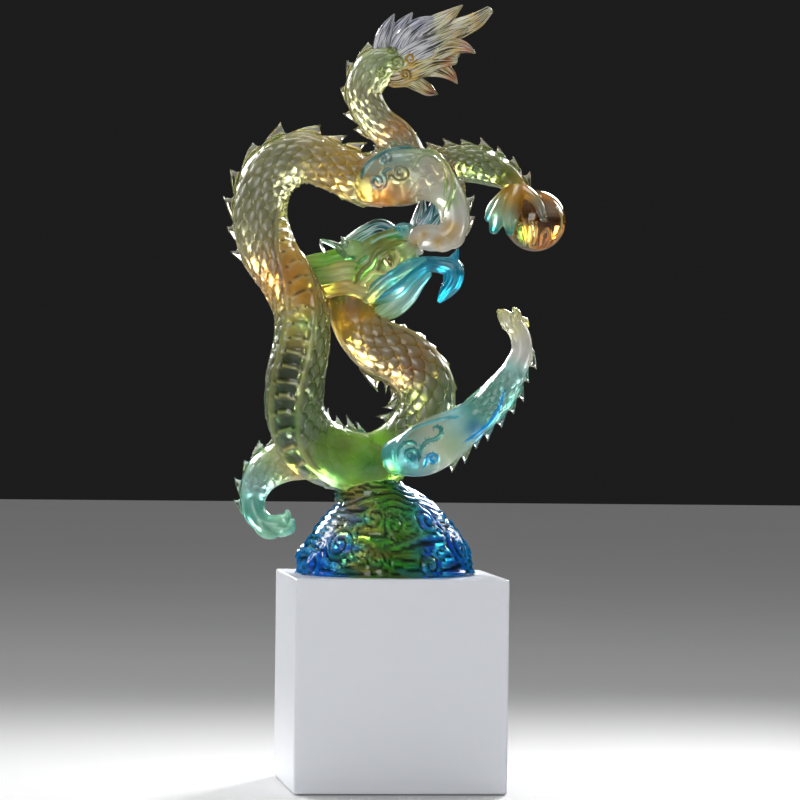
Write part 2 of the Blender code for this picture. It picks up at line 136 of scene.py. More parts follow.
FORE_TINTS = ((0.0, LIME), (0.18, LIME), (0.3, OLIVE), (0.48, OLIVE), (0.6, UMBER), (0.78, UMBER), (0.9, HONEY),
              (1.0, OLIVE))
FORE_BELLY_TINTS = ((0.0, BOTTLE), (1.0, BOTTLE))
BODY_COLUMNS = 68
BODY_GRAIN = 2.4
SCALES_ROUND = 13
SCALE_PITCH = 10.5
# Each scale's outline is a half-round, as shares of the pitch along the body and of the width across it.
# The rows are laid on in this order, each over the last.
SCALE_ORDER = (-1, 0, 1, 2)
SCALE_REACH = 1.5
SCALE_SPREAD = 0.56
DOME_SHARE = 0.8
TILT_SHARE = 0.4
SCALE_LIFT = 2.6
BACK_BAND = math.radians(24)
BELLY_BAND = math.radians(32)
PLATE_PITCH = 14.0

# Each leg: its stations, the roll of its spines, the shares of its length that they cover, and its colours
LEGS = {
    "holding_hind": ((
        (30, 8, 404, 19), (60, 10, 410, 17.5), (84, 11, 410, 18.5), (103, 11, 404, 16.5),
        (118, 11, 396, 13), (127, 10, 384, 10.5), (128, 8, 372, 11)), 180, 0.1, 0.95,
        ((0, AMBER), (0.25, OLIVE), (0.6, OLIVE), (0.75, OLIVE), (0.9, HONEY), (1, AMBER)), (0.12, 0.72)),
    "fore_hind": ((
        (-19, -10, 393, 25), (9, -17, 396, 29), (36, -22, 395, 25), (55, -26, 380, 17),
        (63, -30, 359, 14.5), (62, -33, 343, 14), (50, -34, 335, 13), (34, -34, 334, 11)), 180, 0.05, 0.8,
        ((0, AMBER), (0.12, HONEY), (0.26, PALE_GREEN), (0.42, PEARLY), (0.6, MILK), (1, MILK)), (0.24, 0.5)),
    "raised_front": ((
        (6, -20, 117, 19), (30, -26, 124, 26), (54, -28, 137, 25), (78, -26, 153, 19),
        (95, -23, 166, 17), (109, -20, 182, 17), (124, -17, 206, 12), (131, -15, 224, 10.5),
        (127, -14, 243, 10), (118, -13, 254, 9)), 0, 0.2, 0.85,
        ((0, AQUA), (0.1, PALE_AQUA), (0.22, PEARLY), (0.34, PALE_AQUA), (0.44, JADE), (0.6, JADE), (0.72, PALE_AQUA),
         (0.8, MILK), (1, MILK)),
        (0.42, 0.74)),
    "lowered_front": ((
        (-86, 14, 116, 22), (-108, 18, 112, 21), (-125, 20, 102, 19), (-135, 20, 87, 15),
        (-138, 18, 71, 12), (-135, 16, 58, 11.5), (-124, 14, 49, 10.5), (-112, 13, 48, 10)), 0, 0.15, 0.75,
        ((0, HONEY), (0.3, PALE_GREEN), (0.5, PALE_AQUA), (0.75, JADE), (1, MINT)), (0.05, 0.6)),
}
LEG_COLUMNS = 44
LEG_GRAIN = 2.6
LEG_SCALES_ROUND = 10
LEG_SCALE_PITCH = 8.0

TOES = {
    "holding_hind": (
        ((124, 6, 384, 9), (112, 2, 373, 8.5), (102, -2, 362, 7), (98, -3, 355, 4)),
        ((124, 2, 382, 9), (113, -8, 367, 9), (106, -14, 352, 8), (103, -16, 343, 4.5)),
        ((127, 0, 382, 9), (122, -14, 367, 9), (119, -22, 351, 7.5), (119, -25, 340, 3.5)),
        ((131, 2, 383, 8), (141, -9, 375, 7), (149, -18, 364, 5.5), (152, -22, 354, 3)),
        ((128, 12, 380, 9), (133, 26, 373, 7.5), (140, 36, 362, 6), (144, 38, 350, 3)),
    ),
    "fore_hind": (
        ((50, -35, 336, 11), (36, -39, 338, 10.5), (26, -41, 336, 9), (22, -41, 333, 5)),
        ((54, -36, 334, 10), (42, -42, 330, 8.5), (34, -43, 328, 6), (30, -43, 326, 3)),
        ((60, -33, 338, 10), (56, -40, 330, 8), (49, -42, 326, 5.5), (45, -42, 325, 3)),
        ((64, -30, 344, 10), (66, -37, 334, 7.5), (61, -41, 329, 5.5), (57, -42, 328, 3)),
    ),
    "raised_front": (
        ((119, -13, 250, 8.5), (114, -15, 257, 7), (110, -16, 261, 5), (108, -16, 262.5, 2.5)),
        ((122, -14, 248, 8), (124, -18, 257, 6.5), (125, -19, 262, 4.5), (123, -18, 265, 2)),
        ((122, -11, 246, 8), (129, -10, 252, 6), (134, -9, 252, 4.5), (137, -9, 248, 2)),
    ),
    "lowered_front": (
        ((-120, 13, 48, 9), (-109, 9, 44, 7.5), (-101, 7, 46, 6), (-99, 7, 53, 3)),
        ((-124, 13, 49, 9), (-112, 16, 52, 7), (-104, 17, 57, 4.5), (-104, 17, 62, 2)),
        ((-132, 13, 54, 9), (-126, 8, 42, 6.5), (-118, 6, 39, 4.5), (-112, 5, 40, 2)),
    ),
}
TOE_TINTS = {"holding_hind": ((0, AMBER), (0.4, HONEY), (0.75, MINT), (1, TEAL)), "fore_hind": ((0, MILK), (1, MILK)),
             "raised_front": ((0, MILK), (1, STRAW)), "lowered_front": ((0, MINT), (1, MINT))}

# The tail's tuft: flame locks, the pale ones on the left and the golden ones on the right
COOL_LOCK = ((0, PALE_GREEN), (0.2, LILAC), (0.5, FROST), (0.7, LILAC), (1, FROST))
WARM_LOCK = ((0, PALE_GREEN), (0.25, FROST), (0.5, FROST), (0.7, STRAW), (0.85, GOLD), (1, STRAW))
GOLD_LOCK = ((0, HONEY), (0.25, GOLD), (0.5, STRAW), (0.75, GOLD), (0.9, ORANGE), (1, STRAW))
TUFT_LOCKS = (
    (COOL_LOCK, ((-8, 8, 504, 10), (-10, 7, 518, 8.5), (-8, 6, 534, 7.5), (-2, 5, 549, 5), (4, 4, 560, 0.7))),
    (COOL_LOCK, ((0, 10, 508, 10), (2, 11, 526, 9), (8, 12, 543, 8), (16, 12, 554, 5), (22, 12, 562, 0.7))),
    (COOL_LOCK, ((2, 3, 508, 10), (8, 1, 524, 9), (18, 0, 540, 8.5), (30, 0, 550, 6.5), (46, 1, 556, 2.0))),
    (WARM_LOCK, ((9, 8, 510, 11), (22, 6, 532, 10.5), (40, 4, 547, 9.5), (57, 1, 557, 7), (72, -3, 568.2, 0.7))),
    (WARM_LOCK, ((14, 8, 508, 12), (38, 9, 530, 12), (66, 10, 545, 10.5), (86, 10, 554, 8), (99, 10, 564, 4))),
    (GOLD_LOCK, ((14, 6, 505, 11), (40, 3, 520, 10.5), (62, 2, 528, 8.5), (76, 2, 526, 5), (85, 2, 521, 0.7))),
    (GOLD_LOCK, ((12, 8, 500, 11), (32, 10, 508, 10.5), (50, 11, 506, 8.5), (61, 11, 499, 5), (67, 11, 491, 0.7))),
    (WARM_LOCK, ((4, 0, 507, 13), (22, 0, 520, 12), (44, 1, 531, 10), (62, 3, 540, 7), (76, 6, 546, 3))),
    (GOLD_LOCK, ((6, 0, 500, 12), (26, 1, 507, 12), (46, 4, 514, 9), (64, 5, 514, 4.5))),
    (WARM_LOCK, ((-2, 15, 508, 14), (6, 16, 522, 12), (22, 15, 538, 10), (42, 13, 546, 6))),
    (GOLD_LOCK, ((4, 16, 502, 13), (24, 17, 510, 12), (46, 15, 518, 9), (66, 11, 522, 5))),
    (GOLD_LOCK, ((4, 8, 498, 11), (18, 6, 496, 9), (30, 5, 489, 7), (40, 5, 483, 5), (47, 5, 480, 0.7))),
)
LOCK_DEPTH = 0.5
# Fine hair lines to a unit along a lock and to a radian round it
HAIR_LINES = (0.035, 6.0, 1.0)

HEAD = (
    (-37, 15, 278, 26), (-30, 12, 297, 28), (-12, 9, 313, 28), (6, 7, 325, 24),
    (20, 5, 334, 17), (29, 4, 342, 12), (33, 3, 350, 8),
)
HEAD_TINTS = ((0, AMBER), (0.15, HONEY), (0.35, PALE_GREEN), (0.55, OLIVE), (0.75, PALE_GREEN), (1, TEAL))
LOWER_JAW = (
    (-20, 8, 284, 20), (2, 4, 291, 19), (18, 2, 301, 13), (34, 1, 309, 8.5), (50, 1, 309, 8),
    (62, 1, 305, 10.5), (62, 1, 292, 9.5), (55, 1, 281, 6.5), (49, 1, 273, 2.5),
)
JAW_TINTS = ((0, OLIVE), (0.08, JADE), (0.18, PALE_AQUA), (0.3, AQUA), (0.44, CYAN), (0.56, CYAN), (1, CYAN))
# Flat leaves of the head: (name, colours, grooves, depth share, stations)
HEAD_LEAVES = (
    ("crest", ((0, LEAF), (0.5, JADE), (1, CYAN)), 10, 0.8,
     ((-50, 3, 325, 5), (-38, 3, 332, 8), (-24, 4, 340, 9.5), (-9, 4, 346, 9), (1, 4, 342, 7))),
    ("snout", ((0, OLIVE), (0.5, LEAF), (1, JADE)), 8, 1.1,
     ((-16, -2, 322, 10), (-2, -3, 329, 10.5), (12, -2, 335, 9), (22, 0, 338, 6))),
    ("nose", ((0, CYAN), (1, CYAN)), 6, 1.2, ((4, 2, 338, 7), (13, 2, 343, 8.5), (20, 3, 346, 5))),
    ("lip_low", ((0, JADE), (1, CYAN)), 8, 0.7, ((18, 4, 332, 8), (26, 2, 344, 8), (30, 2, 358, 7), (32, 3, 372, 3))),
    ("lip_middle", ((0, MINT), (0.5, CYAN), (1, CYAN)), 8, 0.6,
     ((20, 0, 332, 7), (32, -2, 345, 8), (40, -2, 358, 6.5), (43, -1, 371, 2.5))),
    ("lip_high", ((0, JADE), (0.5, TEAL), (1, CYAN)), 8, 0.6,
     ((20, -2, 330, 6), (34, -5, 339, 7.5), (45, -5, 350, 6.5), (52, -4, 361, 2))),
    ("lip_back", ((0, TEAL), (1, AQUA)), 8, 0.7, ((20, 10, 332, 7), (34, 13, 344, 8), (42, 13, 357, 6), (46, 12, 369, 2))),
    ("cheek", ((0, PALE_GREEN), (0.4, CYAN), (1, AQUA)), 8, 0.7,
     ((-22, -10, 276, 7), (-10, -13, 288, 8), (6, -12, 300, 7.5), (22, -8, 310, 5.5), (34, -5, 314, 3))),
    ("throat", ((0, PALE_GREEN), (0.5, PALE_AQUA), (1, AQUA)), 12, 0.4,
     ((-14, 0, 258, 6), (-2, 0, 266, 12), (12, 0, 278, 13), (24, 0, 292, 11), (36, 0, 301, 6))),
    ("mane_top", ((0, LEAF), (0.4, LIME), (1, PALE_GREEN)), 8, 0.8,
     ((-30, -4, 320, 8), (-48, -6, 318, 8), (-66, -3, 314, 8), (-90, 4, 311, 6))),
    ("mane_middle", ((0, LIME), (0.4, STRAW), (1, LEAF)), 8, 0.8,
     ((-24, -12, 300, 9), (-42, -13, 303, 10.5), (-60, -9, 299, 10.5), (-82, 0, 296, 9))),
    ("mane_low", ((0, STRAW), (0.4, GOLD), (1, ORANGE)), 8, 0.8,
     ((-28, -10, 284, 9), (-44, -10, 289, 10), (-62, -5, 285, 9), (-82, 2, 276, 7))),
    ("mane_back_top", ((0, LEAF), (1, MINT)), 8, 0.8,
     ((-30, 32, 318, 9), (-50, 34, 316, 9), (-70, 30, 312, 9), (-92, 22, 310, 6))),
    ("mane_back_low", ((0, OLIVE), (1, LEAF)), 8, 0.8,
     ((-28, 36, 296, 10), (-50, 36, 296, 11), (-70, 31, 290, 10), (-90, 22, 284, 6))),
    ("mane_core", ((0, OLIVE), (0.6, AMBER), (1, ORANGE)), 8, 1.0,
     ((-30, 12, 290, 20), (-52, 14, 292, 17), (-72, 13, 288, 14), (-92, 12, 284, 8))),
    ("mane_keel", ((0, AMBER), (1, HONEY)), 8, 1.0,
     ((-32, 12, 276, 18), (-52, 14, 280, 13), (-68, 15, 273, 11), (-82, 16, 262, 2))),
    ("ear", ((0, MINT), (1, MILK)), 4, 0.6, ((-38, -10, 316, 6), (-50, -12, 325, 4.5), (-57, -12, 331, 0.8))),
    ("ear_tuft", ((0, MINT), (1, MILK)), 4, 0.6, ((-36, -12, 320, 5), (-45, -14, 330, 3.5), (-49, -14, 337, 0.8))),
)
LEAF_GLASS = {"ear": POLISHED, "crest": COMBED, "lip": COMBED}
HORNS = (
    ((-40, -4, 320, 4), (-52, -8, 326, 2.8), (-62, -10, 331, 2.2), (-69, -11, 333, 1.8), (-69, -11, 328, 1.4),
     (-64, -9, 320, 1.2)),
    ((-34, 30, 320, 5), (-45, 33, 326, 3.6), (-56, 36, 331, 2.4), (-62, 38, 334, 1.2)),
)

MOUND_CENTRE = (-5.5, 0.0)
MOUND_RADIUS = 91.5
MOUND_RISE = 94.0
RISE_POWER = 1.7
SIDE_POWER = 0.6
SADDLE_CENTRE = (-19.0, 0.0, 78.0)
SADDLE_REACH = (38.0, 34.0, 26.0)
SADDLE_RINGS = 32
SADDLE_COLUMNS = 72
SADDLE_PITCH = 6.0
SADDLE_LIFT = 2.2
MOUND_COLUMNS = 224
MOUND_RINGS = 58
# Cloud scrolls on the mound: (degrees round from the front, height share, size, hand)
CLOUD_SCROLLS = (
    (-10, 0.62, 11, 1), (8, 0.54, 13, -1), (-34, 0.34, 18, 1), (-56, 0.14, 14, 1), (39, 0.58, 15, -1),
    (64, 0.33, 19, -1), (31, 0.13, 13, -1), (-5, 0.2, 13, 1), (105, 0.26, 18, 1), (150, 0.50, 15, -1),
    (-165, 0.24, 19, 1), (-120, 0.50, 15, -1), (-95, 0.22, 17, 1),
)
BAND_PITCH = 7.6
BAND_LIFT = 2.8

PEARL_CENTRE = (145.0, 8.0, 353.5)
PEARL_RADIUS = 30.8

# Fins: pitch of the teeth, their height over the skin and the thickness at the foot
BODY_FIN = (19.0, 15.5, 5.0)
TAIL_FIN = (14.0, 10.5, 4.0)
LEG_FIN = (15.0, 11.5, 4.5)
TOOTH_RINGS = 10
TOOTH_TIP = 3
FIN_ROOT = 6.0
FIN_COLUMNS = 10
FIN_SWEEP = 0.55


class Value:
    """A node's output in a sum: numbers and other outputs combine with it through Math nodes."""

    def __init__(self, finish, socket):
        self.finish, self.socket = finish, socket

    def sum(self, operation, first, second):
        return self.finish.node("ShaderNodeMath", {"operation": operation}, {0: first, 1: second})

    def __add__(self, other):
        return self.sum("ADD", self, other)

    def __sub__(self, other):
        return self.sum("SUBTRACT", self, other)

    def __truediv__(self, other):
        return self.sum("DIVIDE", self, other)

    def __rsub__(self, other):
        return self.sum("SUBTRACT", other, self)

    def __mul__(self, other):
        return self.sum("MULTIPLY", self, other)

    __radd__ = __add__
    __rmul__ = __mul__


class Finish:
    """A material in the making."""

    def __init__(self, name):
        self.material = bpy.data.materials.new(name)
        self.material.use_nodes = True
        self.tree = self.material.node_tree
        self.shader = self.tree.nodes["Principled BSDF"]

    def set(self, socket, value):
        if isinstance(value, Value):
            self.tree.links.new(value.socket, socket)
        else:
            socket.default_value = value

    def node(self, kind, settings=None, inputs=None, output=0):
        node = self.tree.nodes.new(kind)
        for setting, value in (settings or {}).items():
            setattr(node, setting, value)
        for socket, value in (inputs or {}).items():
            self.set(node.inputs[socket], value)
        return Value(self, node.outputs[output])

    def place(self, stretch=(1, 1, 1), turn=(0, 0, 0)):
        """Object coordinates, turned and then squeezed along an axis to draw a pattern out."""
        spot = self.node("ShaderNodeTexCoord", output="Object")
        turned = self.node("ShaderNodeMapping", inputs={"Vector": spot, "Rotation": turn})
        return self.node("ShaderNodeMapping", inputs={"Vector": turned, "Scale": stretch})

    def noise(self, scale, detail=2.0, distortion=0.0, stretch=(1, 1, 1), turn=(0, 0, 0)):
        return self.node("ShaderNodeTexNoise", inputs={
            "Vector": self.place(stretch, turn), "Scale": scale, "Detail": detail, "Distortion": distortion})

    def ramp(self, value, low, high, start=0.0, end=1.0):
        return self.node("ShaderNodeMapRange", {"interpolation_type": "SMOOTHSTEP"}, {
            "Value": value, "From Min": low, "From Max": high, "To Min": start, "To Max": end})

    def mix(self, share, first, second, blend="MIX"):
        mixed = self.tree.nodes.new("ShaderNodeMix")
        mixed.data_type = "RGBA"
        mixed.blend_type = blend
        self.set(mixed.inputs[0], share)
        self.set(mixed.inputs[6], first)
        self.set(mixed.inputs[7], second)
        return Value(self, mixed.outputs[2])

    def bump(self, height, depth, strength=1.0):
        self.set(self.shader.inputs["Normal"], self.node(
            "ShaderNodeBump", inputs={"Strength": strength, "Distance": depth, "Height": height}))

    def shade(self, **inputs):
        for socket, value in inputs.items():
            self.set(self.shader.inputs[socket.replace("_", " ")], value)
        return self.material


def scale_pattern(finish):
    """The scales' height, worked out as scale_height does from the casting's own map of them, and their cover."""
    spot = finish.node("ShaderNodeAttribute", {"attribute_name": "scales"}, output="Vector")
    row_place, column_place, cover = (
        finish.node("ShaderNodeSeparateXYZ", inputs={0: spot}, output=axis) for axis in range(3))
    first = row_place.sum("FLOOR", row_place, 0.0)
    height = 0.0
    for step in SCALE_ORDER:
        row = first + step
        off = column_place - 0.5 * row.sum("FLOORED_MODULO", row, 2.0)
        aside = (off - off.sum("ROUND", off, 0.0)) / SCALE_SPREAD
        ahead_by = (row - row_place) / SCALE_REACH
        square = ahead_by * ahead_by + aside * aside
        dome = square.sum("SQRT", square.sum("MAXIMUM", 1.0 - square, 0.0), 0.0)
        inside = square.sum("LESS_THAN", square, 1.0)
        height = inside * ((ahead_by * TILT_SHARE + DOME_SHARE) * dome) + (1.0 - inside) * height
    return height, cover


def cast_glass(name, roughness, transmission, coat, paleness, depth, grain, combed=0.0, scaly=False, gloss=0.5):
    """Coloured casting glass: the point colours, with paler veins and deeper clouds drawn through them, a painted
    highlight on raised scales and hair ridges and painted shade in their grooves.
    """
    finish = Finish(name)
    tint = finish.node("ShaderNodeAttribute", {"attribute_name": "tint"}, output="Color")
    if scaly:
        height, cover = scale_pattern(finish)
        # Painted highlight on each scale's raised face and painted shade in the grooves between the scales
        tint = finish.mix(finish.ramp(height, 0.35, 0.9) * cover * 0.38, tint, (*SCALE_HIGHLIGHT, 1.0))
        tint = finish.mix(finish.ramp(height, 0.05, 0.36, 0.94, 0.0) * cover, tint, (*GROOVE_SHADE, 1.0))
    veins = finish.noise(55.0, 3.0, 1.6, (1.0, 1.0, 0.6))
    clouds = finish.noise(22.0, 2.0, 0.8)
    pale = finish.mix(finish.ramp(veins, 0.52, 0.72) * paleness, tint, (0.95, 0.95, 0.88, 1.0))
    deep = finish.mix(finish.ramp(clouds, 0.35, 0.7, depth * 0.4, depth), pale, tint, "MULTIPLY")
    relief = finish.noise(grain, 2.0)
    if combed:
        spot = finish.node("ShaderNodeAttribute", {"attribute_name": "scales"}, output="Vector")
        lines = finish.node("ShaderNodeMapping", inputs={"Vector": spot, "Scale": HAIR_LINES})
        hairs = finish.node("ShaderNodeTexNoise", inputs={"Vector": lines, "Scale": 1.0, "Detail": 2.0})
        # Painted highlight in FROST along the hair ridges and painted shade in the hair grooves, where the hair bump
        # rises and sinks
        deep = finish.mix(finish.ramp(hairs, 0.50, 0.58, 0.0, 0.7), deep, (*FROST, 1.0))
        deep = finish.mix(finish.ramp(hairs, 0.41, 0.46, combed, 0.0), deep, (*HAIR_SHADE, 1.0))
        finish.bump(hairs, 0.0022, 1.0)
    elif scaly:
        finish.bump(height * cover + relief * 0.1, 0.0012, 0.8)
    else:
        finish.bump(relief, 0.0002, 0.35)
    return finish.shade(Base_Color=deep, Roughness=finish.ramp(clouds, 0.3, 0.7, roughness * 0.7, roughness * 1.3),
                        Transmission_Weight=transmission, IOR=1.5, Specular_IOR_Level=gloss,
                        Coat_Weight=coat, Coat_Roughness=0.06)


GLASSES = [cast_glass(*settings) for settings in (
    ("satin_glass", 0.2, 0.5, 0.15, 0.12, 0.4, 900.0, 0.0, True),
    ("polished_glass", 0.05, 0.95, 0.0, 0.25, 0.3, 500.0),
    ("deep_glass", 0.05, 0.9, 0.0, 0.05, 0.6, 300.0),
    ("combed_glass", 0.1, 0.1, 0.6, 0.05, 0.05, 500.0, 0.95),
    ("cloud_glass", 0.09, 0.62, 0.0, 0.0, 0.3, 300.0, 0.0, False, 0.12))]


def smooth(stations, step):
    """Rows evenly spaced, about `step` apart, on a smooth curve through the stations."""
    rows = np.array(stations, dtype=float)
    gaps = np.linalg.norm(np.diff(rows[:, :3], axis=0), axis=1)
    reach = np.concatenate(([0.0], np.cumsum(gaps)))
    slopes = np.gradient(rows, reach, axis=0)
    count = max(4, round(reach[-1] / step) + 1)
    places = np.linspace(0.0, reach[-1], count)
    spans = np.clip(np.searchsorted(reach, places, side="right") - 1, 0, len(rows) - 2)
    width = (reach[spans + 1] - reach[spans])[:, None]
    t = (places - reach[spans])[:, None] / width
    start, end = rows[spans], rows[spans + 1]
    leave, arrive = slopes[spans] * width, slopes[spans + 1] * width
    return (start * (2 * t**3 - 3 * t**2 + 1) + leave * (t**3 - 2 * t**2 + t)
            + end * (3 * t**2 - 2 * t**3) + arrive * (t**3 - t**2))


def unit(vectors):
    return vectors / np.maximum(np.linalg.norm(vectors, axis=-1, keepdims=True), 1e-9)


def mix(first, second, share):
    share = np.asarray(share)[..., None]
    return np.asarray(first) * (1 - share) + np.asarray(second) * share


def run(tints, shares):
    """The colour at each share of a length, from stops of (share, colour)."""
    stops = [stop for stop, _ in tints]
    return np.stack([np.interp(shares, stops, [colour[channel] for _, colour in tints])
                     for channel in range(3)], axis=1)


def ramp(value, low, high):
    t = np.clip((value - low) / (high - low), 0.0, 1.0)
    return t * t * (3 - 2 * t)


class Path:
    """A swept line: its rows, the distance along them, and the ways ahead, out to the spine and sideways."""

    def __init__(self, rows, roll=None):
        gaps = np.linalg.norm(np.diff(rows[:, :3], axis=0), axis=1)
        self.rows = rows
        self.reach = np.concatenate(([0.0], np.cumsum(gaps)))
        self.length = self.reach[-1]
        self.ahead = unit(np.gradient(rows[:, :3], self.reach, axis=0))
        right = unit(np.stack((self.ahead[:, 2], np.zeros(len(rows)), -self.ahead[:, 0]), axis=1))
        turn = rows[:, 4:5] if rows.shape[1] > 4 else np.full((len(rows), 1), roll or 0.0)
        turn = np.radians(turn)
        self.outward = unit(right * np.cos(turn) + np.cross(self.ahead, right) * np.sin(turn))
        self.sideways = np.cross(self.outward, self.ahead)

    def at(self, table, places):
        table = table.reshape(len(self.reach), -1)
        return np.stack([np.interp(places, self.reach, column) for column in table.T], axis=1)


def shaped_ball(name, rings, columns, glass):
    """A ball primitive with nothing placed yet, and each point's ring, bearing and whether it is a pole."""
    bpy.ops.object.select_all(action="DESELECT")
    bpy.ops.mesh.primitive_uv_sphere_add(segments=columns, ring_count=rings)
    piece = bpy.context.object
    piece.name = piece.data.name = name
    points = np.empty(len(piece.data.vertices) * 3)
    piece.data.vertices.foreach_get("co", points)
    points = points.reshape(-1, 3)
    flat = np.hypot(points[:, 0], points[:, 1])
    ring = np.rint(np.arctan2(flat, points[:, 2]) / math.pi * rings).astype(int)
    bearing = np.arctan2(points[:, 1], points[:, 0])
    piece.data.polygons.foreach_set("material_index", np.full(len(piece.data.polygons), glass))
    for finish in GLASSES:
        piece.data.materials.append(finish)
    return piece, ring, bearing, flat < 1e-4


def keep(piece, places, tints, scales=None):
    """Sets every point's place, its glass colour (alpha 0 marks it as set) and its place among the scales."""
    piece.data.vertices.foreach_set("co", np.asarray(places, dtype=float).ravel())
    tint = piece.data.attributes.new("tint", "FLOAT_COLOR", "POINT")
    colours = np.hstack((np.clip(tints, 0.0, 1.0), np.zeros((len(tints), 1))))
    tint.data.foreach_set("color", colours.ravel())
    scaling = piece.data.attributes.new("scales", "FLOAT_VECTOR", "POINT")
    scaling.data.foreach_set("vector", (np.zeros((len(tints), 3)) if scales is None else scales).ravel())
    piece.data.update()
    return piece


def draw_out(name, path, columns, tints, depth_share=1.0, carve=None, glass=SATIN, cap=0.8, cap_rings=4):
    """A ball primitive drawn out along a path, its poles rounding the ends off.

    `carve(along, bearing, width, colours)` gives the relief over the plain skin, the colours on it and
    each point's place among the scales: row, column and how fully they cover it.
    """
    turn = np.linspace(0.0, math.pi / 2, cap_rings + 1)[:-1]
    rows, reach = path.rows, path.reach
    along = np.concatenate((-cap * rows[0, 3] * np.cos(turn), reach, path.length + cap * rows[-1, 3] * np.cos(turn[::-1])))
    inside = np.clip(along, 0.0, path.length)
    centre = path.at(rows[:, :3], inside) + unit(path.at(path.ahead, inside)) * (along - inside)[:, None]
    radius = path.at(rows[:, 3], inside)[:, 0]
    radius[:cap_rings] *= np.sin(turn)
    radius[-cap_rings:] *= np.sin(turn[::-1])
    out, side = unit(path.at(path.outward, inside)), unit(path.at(path.sideways, inside))
    piece, ring, bearing, pole = shaped_ball(name, len(along) - 1, columns, glass)
    width = radius[ring]
    colours = run(tints, inside[ring] / path.length)
    scales = None
    if carve:
        relief, colours, scales = carve(along[ring], bearing, width, colours)
        width = width + relief * np.minimum(1.0, width / 4.0)
    width = np.where(pole, 0.0, width)
    places = (centre[ring] + out[ring] * (width * np.cos(bearing))[:, None]
              + side[ring] * (width * depth_share * np.sin(bearing))[:, None])
    return keep(piece, places, colours, scales)


def bump(distance, width):
    return np.exp(-(distance / width) ** 2)


def scale_height(row_place, column_place):
    """Overlapping round scales with their free edge towards the tail, from 0 in the grooves to about 1."""
    height = np.zeros_like(row_place)
    for step in SCALE_ORDER:
        row = np.floor(row_place) + step
        shift = 0.5 * (row % 2)
        off = column_place - shift
        ahead_by = (row - row_place) / SCALE_REACH
        distance = np.hypot(ahead_by, (off - np.rint(off)) / SCALE_SPREAD)
        dome = np.sqrt(np.clip(1.0 - distance**2, 0.0, 1.0))
        height = np.where(distance < 1.0, (DOME_SHARE + TILT_SHARE * ahead_by) * dome, height)
    return np.clip(height, 0.0, 1.2)


def body_carving(bare, belly_tints, length):
    """Scales on both flanks, a ridged band down the back, rails and cross plates down the belly.

    The scales sink into the skin over the `bare` stretches, given as pairs of shares of the length.
    """
    def carve(along, bearing, width, colours):
        from_back = np.abs(bearing)
        from_belly = math.pi - from_back
        flank = ramp(from_back, BACK_BAND, BACK_BAND + 0.2) * ramp(from_belly, BELLY_BAND, BELLY_BAND + 0.2)
        share = along / length
        for start, end in bare:
            flank = flank * (1 - 0.75 * ramp(share, start - 0.03, start) * (1 - ramp(share, end, end + 0.06)))
        spot = np.stack((along / SCALE_PITCH, bearing / math.tau * SCALES_ROUND, flank), axis=1)
        scales = scale_height(spot[:, 0], spot[:, 1])
        ridge = 1.0 * bump(from_back - BACK_BAND, 0.07)
        rails = 2.0 * bump(from_belly - BELLY_BAND, 0.09)
        on_belly = 1 - ramp(from_belly, BELLY_BAND - 0.15, BELLY_BAND - 0.02)
        arch = 0.3 * np.cos(np.clip(from_belly / BELLY_BAND, 0, 1) * math.pi / 2)
        place = (along / PLATE_PITCH + arch) % 1.0
        plates = on_belly * (3.0 * (1.0 - place) ** 1.5 - 3.0)
        relief = SCALE_LIFT * (scales - 0.3) * flank + ridge + rails + plates
        # Painted highlight: STRAW along the back ridge and the belly rails, and on each belly plate's raised front edge
        # (lit_edge)
        lit_rims = np.maximum(1 - ramp(from_back, BACK_BAND - 0.1, BACK_BAND + 0.25), bump(from_belly - BELLY_BAND, 0.13))
        colours = mix(colours, STRAW, 0.55 * lit_rims)
        lit_edge = on_belly * (1 - ramp(place, 0.1, 0.26))
        colours = mix(colours, run(belly_tints, share), 0.9 * on_belly * (1 - lit_rims))
        # Painted shade: dark lines in each belly plate's recess before the next plate's step and in the groove beside
        # the rails
        lines = np.maximum(on_belly * ramp(place, 0.84, 0.95), 0.7 * bump(from_belly - BELLY_BAND - 0.19, 0.06))
        colours = mix(colours, GROOVE_SHADE, 0.9 * lines)
        return relief, mix(colours, STRAW, 0.9 * lit_edge), spot
    return carve


def leg_carving(panel, length):
    """Scales on both flanks between two shares of the leg, bounded by a ridge."""
    def carve(along, bearing, width, colours):
        share = along / length
        from_back = np.abs(bearing)
        if panel is None:
            return 0.8 * bump(from_back - 0.5, 0.12), colours, None
        inside = (ramp(share, panel[0], panel[0] + 0.06) * (1 - ramp(share, panel[1] - 0.06, panel[1]))
                  * ramp(from_back, 0.55, 0.75) * (1 - ramp(from_back, 2.4, 2.6)))
        spot = np.stack((along / LEG_SCALE_PITCH, bearing / math.tau * LEG_SCALES_ROUND, inside), axis=1)
        edge = 4 * inside * (1 - inside)
        return 1.5 * (scale_height(spot[:, 0], spot[:, 1]) - 0.5) * inside + edge, colours, spot
    return carve


def grooved(count, depth, twist=0.0, dark=0.6):
    """Long rounded ridges with sharp grooves between them, as in combed hair, with painted shade down in the grooves as
    deep as `dark` sets.
    """
    def carve(along, bearing, width, colours):
        wave = np.abs(np.cos(count / 2 * (bearing + twist * along)))
        shade = dark + (1 - dark) * ramp(wave, 0.0, 0.6)
        spot = np.stack((along, bearing, np.zeros_like(along)), axis=1)
        return depth * (wave**0.6 - 0.7), colours * shade[:, None], spot
    return carve


